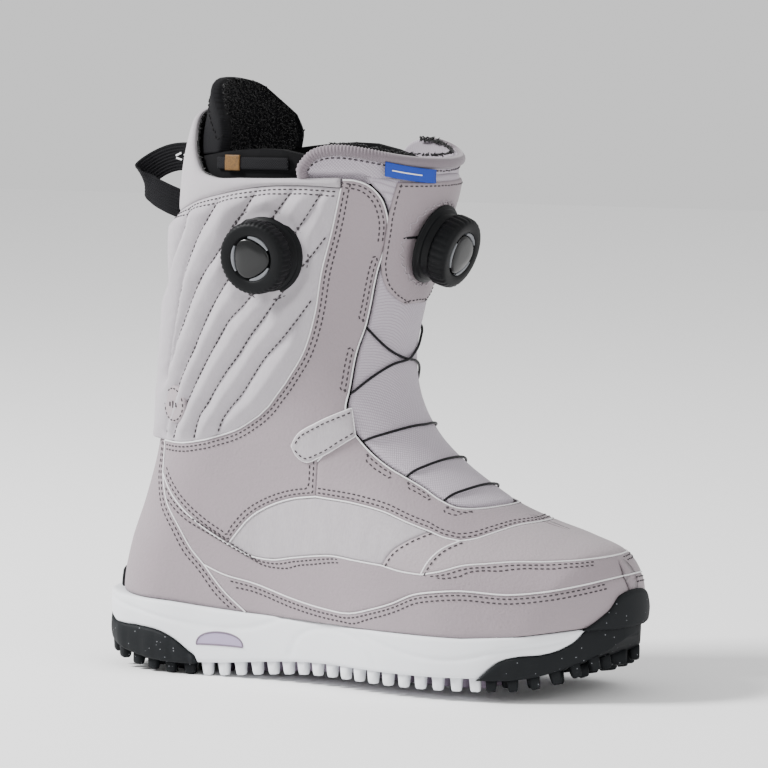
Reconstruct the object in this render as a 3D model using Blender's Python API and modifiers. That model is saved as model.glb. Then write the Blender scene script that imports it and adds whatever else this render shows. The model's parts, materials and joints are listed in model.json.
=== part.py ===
"""Right snowboard boot with two winding dials, as separate solids.

Metres, +X towards the toe, +Z up, -Y the lateral (outer) side. The origin is on the ground,
under the middle of the sole. The upper is one smooth surface: a side outline whose sides are
rounded over, and every panel is a sheet laid on it at a named depth.
"""

import math

import bmesh
import bpy
import numpy as np
from mathutils import Matrix, Vector

MM = 0.001

# Driving dimensions
BOOT_LENGTH = 0.2845
SHAFT_HEIGHT = 0.275
FOREFOOT_WIDTH = 0.103
SHAFT_WIDTH = 0.104
LUG_DEPTH = 0.0060
LUG_INSET = 0.0014

# Layers of the boot's wall, as (depth of the outer face, thickness)
SKIN = (0.0, 0.0016)
LINING = (0.0027, 0.0009)
STIFFENER = (0.0046, 0.0008)
LINER = (0.0062, 0.0040)
OVERLAY = (-0.0018, 0.0013)
BUMPER = (-0.0026, 0.0021)
TONGUE = (0.0, 0.0030)
GUSSET = (0.0048, 0.0004)
GUIDE = (0.0040, 0.0004)
STRAP = (0.0047, 0.0009)
STRAP_LABEL = (0.0039, 0.0004)

# Fits
SEAM_GAP = 0.0004
FACE_GAP = 0.0004
MIDPLANE_INSET = 0.0000004
TONGUE_GAP = 0.0045
TONGUE_RISE = 244.1
LACE_DEPTH = 0.0031

# Winding dials
KNOB_RADIUS = 0.0180
KNOB_HEIGHT = 0.0092
DIAL_FLANGE_RADIUS = 0.0200
DIAL_BODY_RADIUS = 0.0165
DIAL_BODY_HEIGHT = 0.0066
DIAL_WELL_RADIUS = 0.0122
SPOOL_HUB_RADIUS = 0.0026
POST_RADIUS = 0.0021
POST_HEIGHT = 0.0122
PULL_TRAVEL = 0.003
RUNNING_GAP = 0.0004
DIAL_STEPS = 20

# Laces and webbing
LACE_RADIUS = 0.00065
LACE_OVER = -(LACE_RADIUS + 0.0016)
WEBBING_WIDTH = 0.014
WEBBING_THICKNESS = 0.0016

# Heights of the plates under the foot, above the sole's top face
SHANK_PLATE = (0.0003, 0.0014)
LASTING_PLATE = (0.0017, 0.0033)
LINER_PLATE = (0.0037, 0.0067)
FOOTBED_PLATE = (0.0071, 0.0106)
WHOLE_FOOT = (-145, 150)
SHANK_REACH = (-70, 55)
SHANK_HALF_WIDTH = 0.011

# The side view below is drawn in millimetres for a boot of this length and height
DRAWN_LENGTH = 284.5
DRAWN_HEIGHT = 275.0
DRAWN_SOLE = 34.0

# Side outline as (x, z, rounding radius): the instep and toe, then the heel and back
INSTEP = [(141, 20, 36), (143.5, 38, 34), (141.5, 52, 32), (133, 64, 30), (114, 72.5, 34),
          (94, 79, 38), (77, 86, 42), (62, 95, 44), (47, 105.5, 46), (33, 119, 50),
          (24, 135, 54), (21, 153, 58), (25.5, 178, 62), (34.5, 210, 66), (43, 236, 68),
          (45.5, 262, 70), (46, 300, 70)]
BACK = [(-134, 14, 36), (-135.5, 36, 37), (-131, 58, 38), (-122, 82, 40), (-114, 110, 46),
        (-110, 145, 54), (-106, 185, 62), (-100, 228, 66), (-95, 258, 68), (-91, 275, 68),
        (-87, 300, 68)]
FOOT_WIDTH = [(-142, 35), (-110, 37), (-70, 36.5), (-40, 37), (0, 43), (40, 50), (70, 51.5),
              (100, 48), (120, 43), (145, 36)]
WIDEST_FOOT = 51.5
SHAFT_WIDTHS = [(60, 38), (100, 39), (130, 42), (180, 48), (230, 52), (270, 53), (300, 53)]
SQUARENESS = 2.15

# Seams, as (x, z) in the side view
FEATHER = [(-136, 33.5), (-113, 32), (-92, 31), (-74, 29.5), (-49, 28), (-16, 27), (14, 26.5),
           (50, 26), (79, 25.5), (106, 27), (125, 29.5), (143, 32)]
HEEL_SEAM_LOW = [(-49, 28), (-62, 38), (-73, 50)]
HEEL_SEAM_MID = [(-73, 50), (-80, 57), (-88, 69), (-96, 81), (-100, 94)]
HEEL_SEAM_TOP = [(-100, 94), (-100, 110)]
COUNTER_TOP = [(-114, 111), (-100, 110)]
LOWER_RAND = [(-73, 50), (-62, 46), (-46, 43), (-20, 37), (-1, 34), (17, 33), (30, 36), (43, 40),
              (55, 45), (66, 47), (77, 48), (103, 47), (130, 51), (141, 54)]
RAND_TAIL = [(-100, 94), (-94, 86), (-85, 77), (-74, 69), (-59, 61)]
RAND_WINDOW = [(-59, 61), (-46, 56), (-33, 55), (-20, 57), (-6, 59), (4, 60), (21, 59), (37, 58)]
RAND_WEDGE = [(37, 58), (47, 56), (59, 55)]
RAND_TOE = [(59, 55), (69, 57), (79, 60), (89, 61), (101, 62), (114, 62), (126, 62.5), (134, 63)]
WINDOW_TOP = [(-59, 61), (-54, 67), (-46, 75), (-33, 82), (-20, 86), (-6, 88)]
THROAT_WINDOW = [(-6, 88), (18, 86), (34, 83), (46, 79), (59, 75)]
THROAT_WEDGE = [(59, 75), (66, 72.5), (74, 71)]
THROAT_TOE = [(74, 71), (80, 72), (87, 75), (93, 77.5), (97, 78)]
WEDGE_BACK = [(37, 58), (42, 65), (49, 70), (59, 75)]
QUARTER_STEP = [(-6, 88), (-6, 105)]
QUARTER_TAB = [(-6, 105), (9, 121)]
EYESTAY_LOW = [(9, 121), (14, 115), (23, 107), (31, 102), (37, 99), (47, 94), (57, 88.5), (66, 85),
               (73, 84.5), (79, 85)]
EYESTAY_HIGH = [(9, 121), (6, 131), (7, 139), (10, 159), (14, 171), (21, 198), (26, 213),
                (28, 226), (26, 236), (20, 242)]
QUILT_EDGE = [[(-100, 110), (-85, 110), (-70, 112.5)], [(-70, 112.5), (-50, 119), (-38, 126)],
              [(-38, 126), (-32, 131)], [(-32, 131), (-22, 143)],
              [(-22, 143), (-13, 157), (-6, 176), (-1, 198), (5, 217), (11, 238.5)]]
COLLAR_SEAM = [(-101, 222), (-88, 225), (-71, 230.5), (-51, 235), (-30, 238.5), (-7, 239.5),
               (11, 238.5)]
COLLAR_RIM = [(-91, 275), (-84, 265), (-79, 254), (-71, 245), (-61, 242.5), (-43, 242.5),
              (-26, 242.7), (11, 243.5)]
TAB_OUTLINE = [[(-20, 112), (-17, 117), (-7, 123.5), (6, 130)], [(-20, 112), (-17, 107),
               (-12, 104.5), (-5, 107), (10, 117)]]
BADGE_CENTRE = (-89, 129)
BADGE_RADIUS = 0.0095
SIDE_DIAL = (-29, 205.5)
FRONT_DIAL = (34.7, 211)
LINING_KNEE = (50, 74)
LINING_EDGE = [LINING_KNEE, (36, 82), (20, 92), (4, 101), (-7, 113), (-8, 131), (-5, 150), (2, 172),
               (9, 198), (13, 226), (10, 243)]
LINER_KNEE = (60, 79)
LINER_EDGE = [LINER_KNEE, (52, 90), (40, 97), (31, 102), (14, 114.5), (7, 121), (5, 133), (6, 142),
              (10, 159), (14, 171), (21, 198), (26, 213), (27, 226), (24, 247)]
LINER_CREST = (84.5, 82.6)
LINER_RIM = [(-95.5, 251), (-84, 252), (-70, 253.5), (-58, 255), (-16, 255.5), (8, 249.5)]
TONGUE_TOP = [(-9, 246.5), (-8, 251), (-4, 255.5), (3, 258.5), (12, 259), (22, 257.5),
              (30, 255.5), (38, 253.5), (45, 252)]
DIAL_PATCH_EDGE = [(27, 184), (26.5, 193), (30.5, 210), (34, 225), (36.5, 240)]

# The sole's plan and heights
SOLE_PLAN = [(-142, 6), (-139, 16), (-130, 29), (-110, 38), (-70, 38.5), (-30, 38), (0, 41.5),
             (40, 51), (70, 53), (100, 49), (125, 34), (138, 17), (143, 6)]
HEEL_RUBBER_TOP = [(-142, 21), (-128, 19.5), (-115, 18), (-98, 15), (-89, 12.5), (-80, 9.5)]
TOE_RUBBER_TOP = [(90, 9.5), (97, 14), (106, 17), (116, 17.5), (124, 19), (131, 23), (143, 30)]
GROUND = [(-142, 8), (-134, 3), (-124, 0), (0, 0), (90, 0), (103, 0.3), (113, 1.8), (127, 7),
          (138, 13.5), (143, 19)]
SPLIT = 30
HEEL_RUBBER_FRONT = -80
TOE_RUBBER_BACK = 91
CUSHION_BAR = (-76, -49, 10.5, 17.5)

# Colours
MAUVE = (0.42, 0.38, 0.40)
PALE_GREY = (0.55, 0.52, 0.55)
WHITE = (0.83, 0.84, 0.85)
BLACK = (0.02, 0.02, 0.022)
LILAC = (0.52, 0.46, 0.60)


# ---------------------------------------------------------------- curves in the side view
def place(points):
    """Drawn (x, z) points in millimetres, stretched to the driving dimensions, in metres."""
    p = np.array(points, float)
    out = p.copy()
    out[..., 0] = p[..., 0] * BOOT_LENGTH / DRAWN_LENGTH
    above = np.maximum(p[..., 1] - DRAWN_SOLE, 0)
    stretch = (SHAFT_HEIGHT / MM - DRAWN_SOLE) / (DRAWN_HEIGHT - DRAWN_SOLE)
    out[..., 1] = (np.minimum(p[..., 1], DRAWN_SOLE) + above * stretch) * MM
    if p.shape[-1] > 2:
        out[..., 2] = p[..., 2] * MM
    return out


def spline(points, fractions, axes=2):
    """A smooth curve through the points, read at fractions of its length along the first axes."""
    if len(points) == 2:
        return points[0] + (points[1] - points[0]) * np.array(fractions)[:, None]
    reach = np.r_[0, np.cumsum(np.linalg.norm(np.diff(points[:, :axes], axis=0), axis=1))]
    slope = np.gradient(points, reach, axis=0)
    at = np.clip(np.array(fractions), 0, 1) * reach[-1]
    k = np.clip(np.searchsorted(reach, at, side="right") - 1, 0, len(points) - 2)
    step = (reach[k + 1] - reach[k])[:, None]
    s = (at - reach[k])[:, None] / step
    ahead = (2 * s**3 - 3 * s**2 + 1) * points[k] + (s**3 - 2 * s**2 + s) * step * slope[k]
    return ahead + (3 * s**2 - 2 * s**3) * points[k + 1] + (s**3 - s**2) * step * slope[k + 1]


def curve(points, segments, ease=None):
    """The drawn points as a smooth line of so many segments, closer together at an eased end."""
    t = np.linspace(0, 1, segments + 1)
    if ease == "end":
        t = 1 - (1 - t) ** 2
    if ease == "start":
        t = t**2
    return spline(place(points), t)


def chain(*pieces):
    """Lines joined end to end."""
    return np.vstack([pieces[0]] + [p[1:] for p in pieces[1:]])


def value_at(table, at):
    """A smooth value through a table of (position, value) pairs."""
    xs, ys = np.array(table, float).T
    slope = np.gradient(ys, xs)
    at = np.clip(at, xs[0], xs[-1])
    k = np.clip(np.searchsorted(xs, at, side="right") - 1, 0, len(xs) - 2)
    h = xs[k + 1] - xs[k]
    s = (at - xs[k]) / h
    ahead = (2 * s**3 - 3 * s**2 + 1) * ys[k] + (s**3 - 2 * s**2 + s) * h * slope[k]
    return ahead + (3 * s**2 - 2 * s**3) * ys[k + 1] + (s**3 - s**2) * h * slope[k + 1]


def ramp(low, high, at):
    """Zero below low, one above high, smooth between."""
    t = np.clip((at - low) / (high - low), 0, 1)
    return t * t * (3 - 2 * t)


class Outline:
    """One side of the side view's outline, as a fine line with inward directions."""

    def __init__(self, drawn, inward, samples=140):
        self.line = spline(place(drawn), np.linspace(0, 1, samples))
        tangent = np.gradient(self.line[:, :2], axis=0)
        tangent /= np.linalg.norm(tangent, axis=1)[:, None]
        self.inward = np.stack([-tangent[:, 1], tangent[:, 0]], 1) * inward
        steps = np.linalg.norm(np.diff(self.line[:, :2], axis=0), axis=1)
        self.reach = np.r_[0, np.cumsum(steps)]

    def nearest(self, points):
        """For each point: distance / rounding radius, radius, inward direction, reach."""
        start, end = self.line[:-1], self.line[1:]
        along = end[:, :2] - start[:, :2]
        t = ((points[:, None] - start[:, :2]) * along).sum(-1) / (along**2).sum(-1)
        t = np.clip(t, 0, 1)
        foot = start[:, :2] + t[..., None] * along
        distance = np.linalg.norm(points[:, None] - foot, axis=-1)
        radius = start[:, 2] + t * (end[:, 2] - start[:, 2])
        k = (distance / radius).argmin(1)
        rows = np.arange(len(points))
        t = t[rows, k]
        inward = self.inward[k] + t[:, None] * (self.inward[k + 1] - self.inward[k])
        inward /= np.linalg.norm(inward, axis=1)[:, None]
        reach = self.reach[k] + t * (self.reach[k + 1] - self.reach[k])
        return distance[rows, k] / radius[rows, k], radius[rows, k], inward, reach

    def at_reach(self, reach):
        """Points on the outline at distances along it."""
        return np.stack([np.interp(reach, self.reach, self.line[:, i]) for i in (0, 1)], -1)

    def between(self, start, end, segments):
        """The stretch of the outline between the points nearest to two placed points."""
        ends = self.nearest(np.array([start, end]))[3]
        return self.at_reach(np.linspace(ends[0], ends[1], segments + 1))


FRONT_LINE = Outline(INSTEP, 1)
BACK_LINE = Outline(BACK, -1)


# ---------------------------------------------------------------- the upper's surface
def half_width(x, z):
    """Half of the boot's width at a side-view point, before its edges are rounded."""
    foot = value_at(FOOT_WIDTH, x / BOOT_LENGTH * DRAWN_LENGTH) / WIDEST_FOOT * FOREFOOT_WIDTH / 2
    drawn_z = z / MM
    shaft = value_at(SHAFT_WIDTHS, drawn_z) / 52 * SHAFT_WIDTH / 2
    return foot + (shaft - foot) * ramp(60, 125, drawn_z)


def middle(x, z):
    """The boot's middle line bends inwards at the toe, as a right foot does."""
    u = x / BOOT_LENGTH * DRAWN_LENGTH
    bend = 7 * ramp(60, 140, u) - 2 * np.sin(np.clip((u + 40) / 130, 0, 1) * math.pi)
    return bend * (1 - ramp(60, 120, z / MM)) * MM


def on_upper(points, side, depth, ridge=None):
    """Side-view points carried to the upper's surface at a depth, on one side (-1 lateral)."""
    p = np.asarray(points, float).reshape(-1, 2)
    ratio_f, radius_f, inward_f, _ = FRONT_LINE.nearest(p)
    ratio_b, radius_b, inward_b, _ = BACK_LINE.nearest(p)
    front = ratio_f < ratio_b
    ratio = np.where(front, ratio_f, ratio_b)
    radius = np.where(front, radius_f, radius_b)
    inward = np.where(front[:, None], inward_f, inward_b)
    if ridge is not None:
        ratio = np.where(ridge.reshape(-1), 0.0, ratio)
    x, z = p.T
    rest = 1 - np.clip(ratio, 0, 1)
    wide = half_width(x, z)
    share = (1 - rest**SQUARENESS) ** (1 / SQUARENESS)
    centre = middle(x, z)
    step = 0.0005
    push = SQUARENESS * share ** (SQUARENESS - 1)
    grow_x = (half_width(x + step, z) - half_width(x - step, z)) / (2 * step)
    grow_z = (half_width(x, z + step) - half_width(x, z - step)) / (2 * step)
    lean_x = (middle(x + step, z) - middle(x - step, z)) / (2 * step)
    lean_z = (middle(x, z + step) - middle(x, z - step)) / (2 * step)
    roll = SQUARENESS * rest ** (SQUARENESS - 1) / radius
    normal = np.stack(
        [
            -push * (share * grow_x + side * lean_x) / wide - roll * inward[:, 0],
            side * push / wide,
            -push * (share * grow_z + side * lean_z) / wide - roll * inward[:, 1],
        ],
        1,
    )
    normal /= np.linalg.norm(normal, axis=1)[:, None]
    spot = np.stack([x, centre + side * wide * share, z], 1)
    return spot - normal * depth, normal


def fill(bottom, top, left, right):
    """A grid of side-view points between four lines that meet at their ends."""
    s = np.linspace(0, 1, len(left))[:, None, None]
    steps = np.linalg.norm(np.diff(bottom, axis=0), axis=1)
    t = (np.r_[0, np.cumsum(steps)] / steps.sum())[None, :, None]
    rows = (1 - s) * bottom[None] + s * top[None]
    columns = (1 - t) * left[:, None] + t * right[:, None]
    corners = (1 - s) * ((1 - t) * bottom[0] + t * bottom[-1]) + s * ((1 - t) * top[0] + t * top[-1])
    return rows + columns - corners


def shrink(grid, edges, gap=SEAM_GAP):
    """The grid with the named edges drawn in by half a seam gap."""
    out = grid.copy()
    for edge in edges:
        view = {"bottom": out, "top": out[::-1], "left": out.swapaxes(0, 1),
                "right": out[:, ::-1].swapaxes(0, 1)}[edge]
        inward = view[1] - view[0]
        length = np.linalg.norm(inward, axis=1)[:, None] + 1e-12
        view[0] += inward / length * np.minimum(gap / 2, 0.3 * length)
    return out


# ---------------------------------------------------------------- objects
def material(name, colour, roughness=0.6, metallic=0.0):
    """A Principled material."""
    made = bpy.data.materials.new(name)
    made.use_nodes = True
    shader = made.node_tree.nodes["Principled BSDF"]
    shader.inputs["Base Color"].default_value = (*colour, 1)
    shader.inputs["Roughness"].default_value = roughness
    shader.inputs["Metallic"].default_value = metallic
    return made


def add_mesh(name, bm, finish, collection="snowboard_boot"):
    """A mesh object from a bmesh, in the named collection."""
    mesh = bpy.data.meshes.new(name)
    bm.to_mesh(mesh)
    bm.free()
    thing = bpy.data.objects.new(name, mesh)
    bpy.data.collections[collection].objects.link(thing)
    if finish:
        mesh.materials.append(material(name, *finish))
    return thing


def sheet(name, grid, layer, sides, ridges, finish):
    """A closed sheet over the grid at a layer's depth, on one side or both.

    ridges names the grid's edges that lie on the outline, where the two sides meet.
    """
    rows, columns = grid.shape[:2]
    ridge = np.zeros((rows, columns), bool)
    ridge[0] |= "bottom" in ridges
    ridge[-1] |= "top" in ridges
    ridge[:, 0] |= "left" in ridges
    ridge[:, -1] |= "right" in ridges
    bm = bmesh.new()
    for side in sides:
        faces = []
        for depth in (layer[0], layer[0] + layer[1]):
            spots, _ = on_upper(grid, side, depth, ridge)
            faces.append([bm.verts.new(s) for s in spots])
        outer, inner = [np.array(f, object).reshape(rows, columns) for f in faces]
        for r in range(rows - 1):
            for c in range(columns - 1):
                for skin in (outer, inner):
                    bm.faces.new([skin[r, c], skin[r, c + 1], skin[r + 1, c + 1], skin[r + 1, c]])
        rim = []
        rim += [] if "bottom" in ridges else [(0, c, 0, c + 1) for c in range(columns - 1)]
        rim += [] if "top" in ridges else [(rows - 1, c, rows - 1, c + 1) for c in range(columns - 1)]
        rim += [] if "left" in ridges else [(r, 0, r + 1, 0) for r in range(rows - 1)]
        last = columns - 1
        rim += [] if "right" in ridges else [(r, last, r + 1, last) for r in range(rows - 1)]
        for a, b, c, d in rim:
            bm.faces.new([outer[a, b], outer[c, d], inner[c, d], inner[a, b]])
    bmesh.ops.remove_doubles(bm, verts=bm.verts, dist=0.000005)
    bmesh.ops.recalc_face_normals(bm, faces=bm.faces)
    return add_mesh(name, bm, finish)


def pair(name, grid, layer, ridges, finish):
    """The same sheet as a lateral and a medial piece."""
    for label, side in (("lateral", -1), ("medial", 1)):
        sheet(f"{name}_{label}", grid, layer, (side,), ridges, finish)


def turned(name, profile, frame, finish, steps=DIAL_STEPS):
    """A turned piece: (radius, height) points, outer side first from top to bottom."""
    mesh = bpy.data.meshes.new(name)
    corners = [(r, 0, h) for r, h in profile]
    mesh.from_pydata(corners, [(i, (i + 1) % len(corners)) for i in range(len(corners))], [])
    thing = bpy.data.objects.new(name, mesh)
    bpy.data.collections["snowboard_boot"].objects.link(thing)
    mesh.materials.append(material(name, *finish))
    screw = thing.modifiers.new("turn", "SCREW")
    screw.steps = screw.render_steps = steps
    screw.use_merge_vertices = True
    screw.merge_threshold = 0.00005
    thing.matrix_world = frame
    return thing


def cut(thing, cutter):
    """Cuts one object from another with a hidden cutter."""
    cutter.hide_render = True
    cutter.display_type = "WIRE"
    step = thing.modifiers.new("cut", "BOOLEAN")
    step.operation = "DIFFERENCE"
    step.solver = "EXACT"
    step.object = cutter


def cylinder_cutter(name, radius, depth, frame):
    """A cylinder along a frame's axis, for cutting."""
    bm = bmesh.new()
    bmesh.ops.create_cone(bm, cap_ends=True, segments=24, radius1=radius, radius2=radius, depth=depth)
    thing = add_mesh(name, bm, None, "cutters")
    thing.matrix_world = frame
    return thing


def tube(name, route, radius, finish, resolution=2):
    """A cord along the route's points."""
    line = np.array(route, float)
    data = bpy.data.curves.new(name, "CURVE")
    data.dimensions = "3D"
    data.bevel_depth = radius
    data.bevel_resolution = resolution
    data.use_fill_caps = True
    path = data.splines.new("POLY")
    path.points.add(len(line) - 1)
    for spot, co in zip(path.points, line):
        spot.co = (*co, 1)
    data.materials.append(material(name, *finish))
    thing = bpy.data.objects.new(name, data)
    bpy.data.collections["snowboard_boot"].objects.link(thing)
    return thing


# ---------------------------------------------------------------- the seam network
def snap_front(point):
    """The instep outline's nearest point to a drawn point."""
    return FRONT_LINE.between(*[place([point])[0]] * 2, 1)[0]


def snap_back(point):
    """The back outline's nearest point to a drawn point."""
    return BACK_LINE.between(*[place([point])[0]] * 2, 1)[0]


def seam_network():
    """Every seam, each sampled once, so that the panels on both sides of it agree."""
    seam = {}
    feather = place(FEATHER)
    low = np.linalg.norm(feather - place([(-49, 28)]), axis=1).argmin()
    seam["feather_heel"] = spline(feather[: low + 1], np.linspace(0, 1, 10) ** 2)
    seam["feather_heel"][0] = snap_back(FEATHER[0])
    seam["feather_fore"] = spline(feather[low:], 1 - (1 - np.linspace(0, 1, 23)) ** 1.6)
    seam["feather_fore"][-1] = snap_front(FEATHER[-1])
    seam["heel_low"] = curve(HEEL_SEAM_LOW, 2)
    seam["heel_mid"] = curve(HEEL_SEAM_MID, 4)
    seam["heel_top"] = curve(HEEL_SEAM_TOP, 1)
    seam["counter_top"] = curve(COUNTER_TOP, 9, "start")
    seam["counter_top"][0] = snap_back(COUNTER_TOP[0])
    lower = spline(place(LOWER_RAND), 1 - (1 - np.linspace(0, 1, 23)) ** 1.6)
    lower[-1] = snap_front(LOWER_RAND[-1])
    seam["lower_rand"] = lower
    seam["rand_tail"] = curve(RAND_TAIL, 4)
    seam["rand_window"] = curve(RAND_WINDOW, 9)
    seam["rand_wedge"] = curve(RAND_WEDGE, 2)
    seam["rand_toe"] = curve(RAND_TOE, 7, "end")
    seam["rand_toe"][-1] = snap_front(RAND_TOE[-1])
    seam["window_top"] = curve(WINDOW_TOP, 5)
    seam["throat_window"] = curve(THROAT_WINDOW, 4)
    seam["throat_wedge"] = curve(THROAT_WEDGE, 2)
    seam["throat_toe"] = curve(THROAT_TOE, 7, "end")
    seam["throat_toe"][-1] = snap_front(THROAT_TOE[-1])
    seam["wedge_back"] = curve(WEDGE_BACK, 4)
    seam["quarter_step"] = curve(QUARTER_STEP, 2)
    seam["quarter_tab"] = curve(QUARTER_TAB, 2)
    seam["eyestay_low"] = curve(EYESTAY_LOW, 11, "end")
    seam["eyestay_low"][-1] = snap_front(EYESTAY_LOW[-1])
    seam["eyestay_high"] = curve(EYESTAY_HIGH, 13)
    for i, (points, segments) in enumerate(zip(QUILT_EDGE, (4, 5, 2, 2, 13))):
        seam[f"quilt_{i}"] = curve(points, segments)
    seam["collar_seam"] = curve(COLLAR_SEAM, 13, "start")
    seam["collar_seam"][0] = snap_back(COLLAR_SEAM[0])
    seam["collar_rim"] = curve(COLLAR_RIM, 13, "start")
    seam["collar_rim"][0] = snap_back(COLLAR_RIM[0])
    seam["collar_front"] = np.array([seam["collar_seam"][-1], seam["collar_rim"][-1]])
    return seam


def on_front(start, end, segments):
    """A stretch of the instep outline between two placed points."""
    return FRONT_LINE.between(start, end, segments)


def on_back(start, end, segments):
    """A stretch of the back outline between two placed points."""
    return BACK_LINE.between(start, end, segments)


def straight(start, end, segments):
    """A straight run between two placed points."""
    return start + (end - start) * np.linspace(0, 1, segments + 1)[:, None]


def towards(start, end, segments, power):
    """A straight run whose points crowd together at its end, on the outline."""
    return start + (end - start) * (1 - (1 - np.linspace(0, 1, segments + 1)[:, None]) ** power)


def away_from(start, end, segments, power):
    """A straight run whose points crowd together at its start, on the outline."""
    return start + (end - start) * np.linspace(0, 1, segments + 1)[:, None] ** power


# ---------------------------------------------------------------- the shell's outer panels
def build_skin(seam):
    """The outer panels of the shell."""
    leather = (MAUVE, 0.55)
    textile = (PALE_GREY, 0.8)
    heel_front = chain(seam["heel_low"], seam["heel_mid"], seam["heel_top"])
    heel = fill(seam["feather_heel"], seam["counter_top"],
                on_back(seam["feather_heel"][0], seam["counter_top"][0], 7), heel_front)
    sheet("heel_overlay", shrink(heel, ["bottom", "top", "right"]), SKIN, (-1, 1), ["left"], leather)

    rand = fill(seam["feather_fore"], seam["lower_rand"], seam["heel_low"],
                on_front(seam["feather_fore"][-1], seam["lower_rand"][-1], 2))
    sheet("rand_lower", shrink(rand, ["bottom", "top", "left"]), SKIN, (-1, 1), ["right"], leather)
    upper = chain(seam["rand_tail"], seam["rand_window"], seam["rand_wedge"], seam["rand_toe"])
    rand = fill(seam["lower_rand"], upper, seam["heel_mid"],
                on_front(seam["lower_rand"][-1], upper[-1], 4))
    sheet("rand_upper", shrink(rand, ["bottom", "top", "left"]), SKIN, (-1, 1), ["right"], leather)

    tip = np.repeat(seam["rand_window"][:1], 5, 0)
    window = fill(seam["rand_window"], chain(seam["window_top"], seam["throat_window"]), tip,
                  seam["wedge_back"])
    pair("side_window", shrink(window, ["bottom", "top", "right", "left"]), SKIN, [], textile)
    vamp = fill(chain(seam["rand_wedge"], seam["rand_toe"]),
                chain(seam["throat_wedge"], seam["throat_toe"]), seam["wedge_back"],
                on_front(seam["rand_toe"][-1], seam["throat_toe"][-1], 4))
    sheet("vamp", shrink(vamp, ["bottom", "top", "left"]), SKIN, (-1, 1), ["right"], leather)

    throat = chain(seam["throat_window"], seam["throat_wedge"], seam["throat_toe"])
    over = fill(throat, chain(seam["quarter_tab"], seam["eyestay_low"]), seam["quarter_step"],
                on_front(throat[-1], seam["eyestay_low"][-1], 2))
    sheet("throat_overlay", shrink(over, ["bottom", "top", "left"]), SKIN, (-1, 1), ["right"], leather)

    outer = chain(seam["rand_tail"], seam["window_top"], seam["quarter_step"],
                  seam["quarter_tab"], seam["eyestay_high"])
    inner = chain(*[seam[f"quilt_{i}"] for i in range(5)])
    quarter = fill(outer, inner, straight(outer[0], inner[0], 3), straight(outer[-1], inner[-1], 3))
    pair("quarter", shrink(quarter, ["bottom", "top", "left", "right"]), SKIN, [], leather)

    side_edge = seam["quilt_4"]
    floor = chain(seam["counter_top"], *[seam[f"quilt_{i}"] for i in range(4)])
    floor = np.vstack([floor[:9:2], floor[9:]])
    roof = spline(seam["collar_seam"], np.linspace(0, 1, len(floor)) ** 1.5)
    roof[0] = seam["collar_seam"][0]
    spine = on_back(floor[0], roof[0], len(side_edge) - 1)
    quilt = fill(floor, roof, spine, side_edge)
    quilt = shrink(quilt, ["bottom", "top", "right"], 2 * SEAM_GAP)
    quilt[:, 0, 0] += MIDPLANE_INSET
    pair("quilted_cuff", quilt, SKIN, [], textile)

    band = fill(seam["collar_seam"], seam["collar_rim"],
                on_back(seam["collar_seam"][0], seam["collar_rim"][0], 3),
                straight(seam["collar_front"][0], seam["collar_front"][1], 3))
    sheet("collar_band", shrink(band, ["bottom", "top", "right"]), SKIN, (-1, 1), ["left"], textile)


def build_overlays():
    """Pieces laid on the outer panels: ankle tabs, badge, toe and heel bumpers."""
    upper, lower = [curve(points, 6) for points in TAB_OUTLINE]
    tab = fill(lower, upper, np.repeat(upper[:1], 4, 0), straight(lower[-1], upper[-1], 3))
    pair("ankle_tab", tab, OVERLAY, [], (PALE_GREY, 0.8))
    turn = np.linspace(0, 2 * math.pi, 17)[:-1]
    spots = place([BADGE_CENTRE])[0] + BADGE_RADIUS * np.stack([0.9 * np.cos(turn), np.sin(turn)], 1)
    disc("badge", spots, OVERLAY, (MAUVE, 0.5))

    side = place([(133, 31), (136.5, 34), (139.5, 38.5), (141.5, 45)])
    low = towards(side[0], snap_front((144, 32)), 5, 2)
    top = towards(side[-1], snap_front((142.5, 47)), 5, 2)
    bumper = fill(low, top, side, on_front(low[-1], top[-1], 3))
    sheet("toe_bumper", bumper, BUMPER, (-1, 1), ["right"], (BLACK, 0.55))


def disc(name, rim, layer, finish, side=-1):
    """A flat-edged patch inside a closed rim of side-view points."""
    centre = rim.mean(0)
    bm = bmesh.new()
    rings = []
    for depth in (layer[0], layer[0] + layer[1]):
        outer = [bm.verts.new(s) for s in on_upper(rim, side, depth)[0]]
        half = [bm.verts.new(s) for s in on_upper(centre + 0.5 * (rim - centre), side, depth)[0]]
        hub = bm.verts.new(on_upper(centre, side, depth)[0][0])
        rings.append(outer)
        count = len(outer)
        for i in range(count):
            j = (i + 1) % count
            bm.faces.new([outer[i], outer[j], half[j], half[i]])
            bm.faces.new([half[i], half[j], hub])
    for i in range(len(rim)):
        j = (i + 1) % len(rim)
        bm.faces.new([rings[0][i], rings[0][j], rings[1][j], rings[1][i]])
    bmesh.ops.recalc_face_normals(bm, faces=bm.faces)
    return add_mesh(name, bm, finish)


# ---------------------------------------------------------------- lining, stiffeners, liner
def foot_line(xs, rise):
    """Points a rise above the sole's top face, at places along it."""
    feather = place(FEATHER)
    return np.stack([xs, np.interp(xs, feather[:, 0], feather[:, 1]) + rise], 1)


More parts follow.
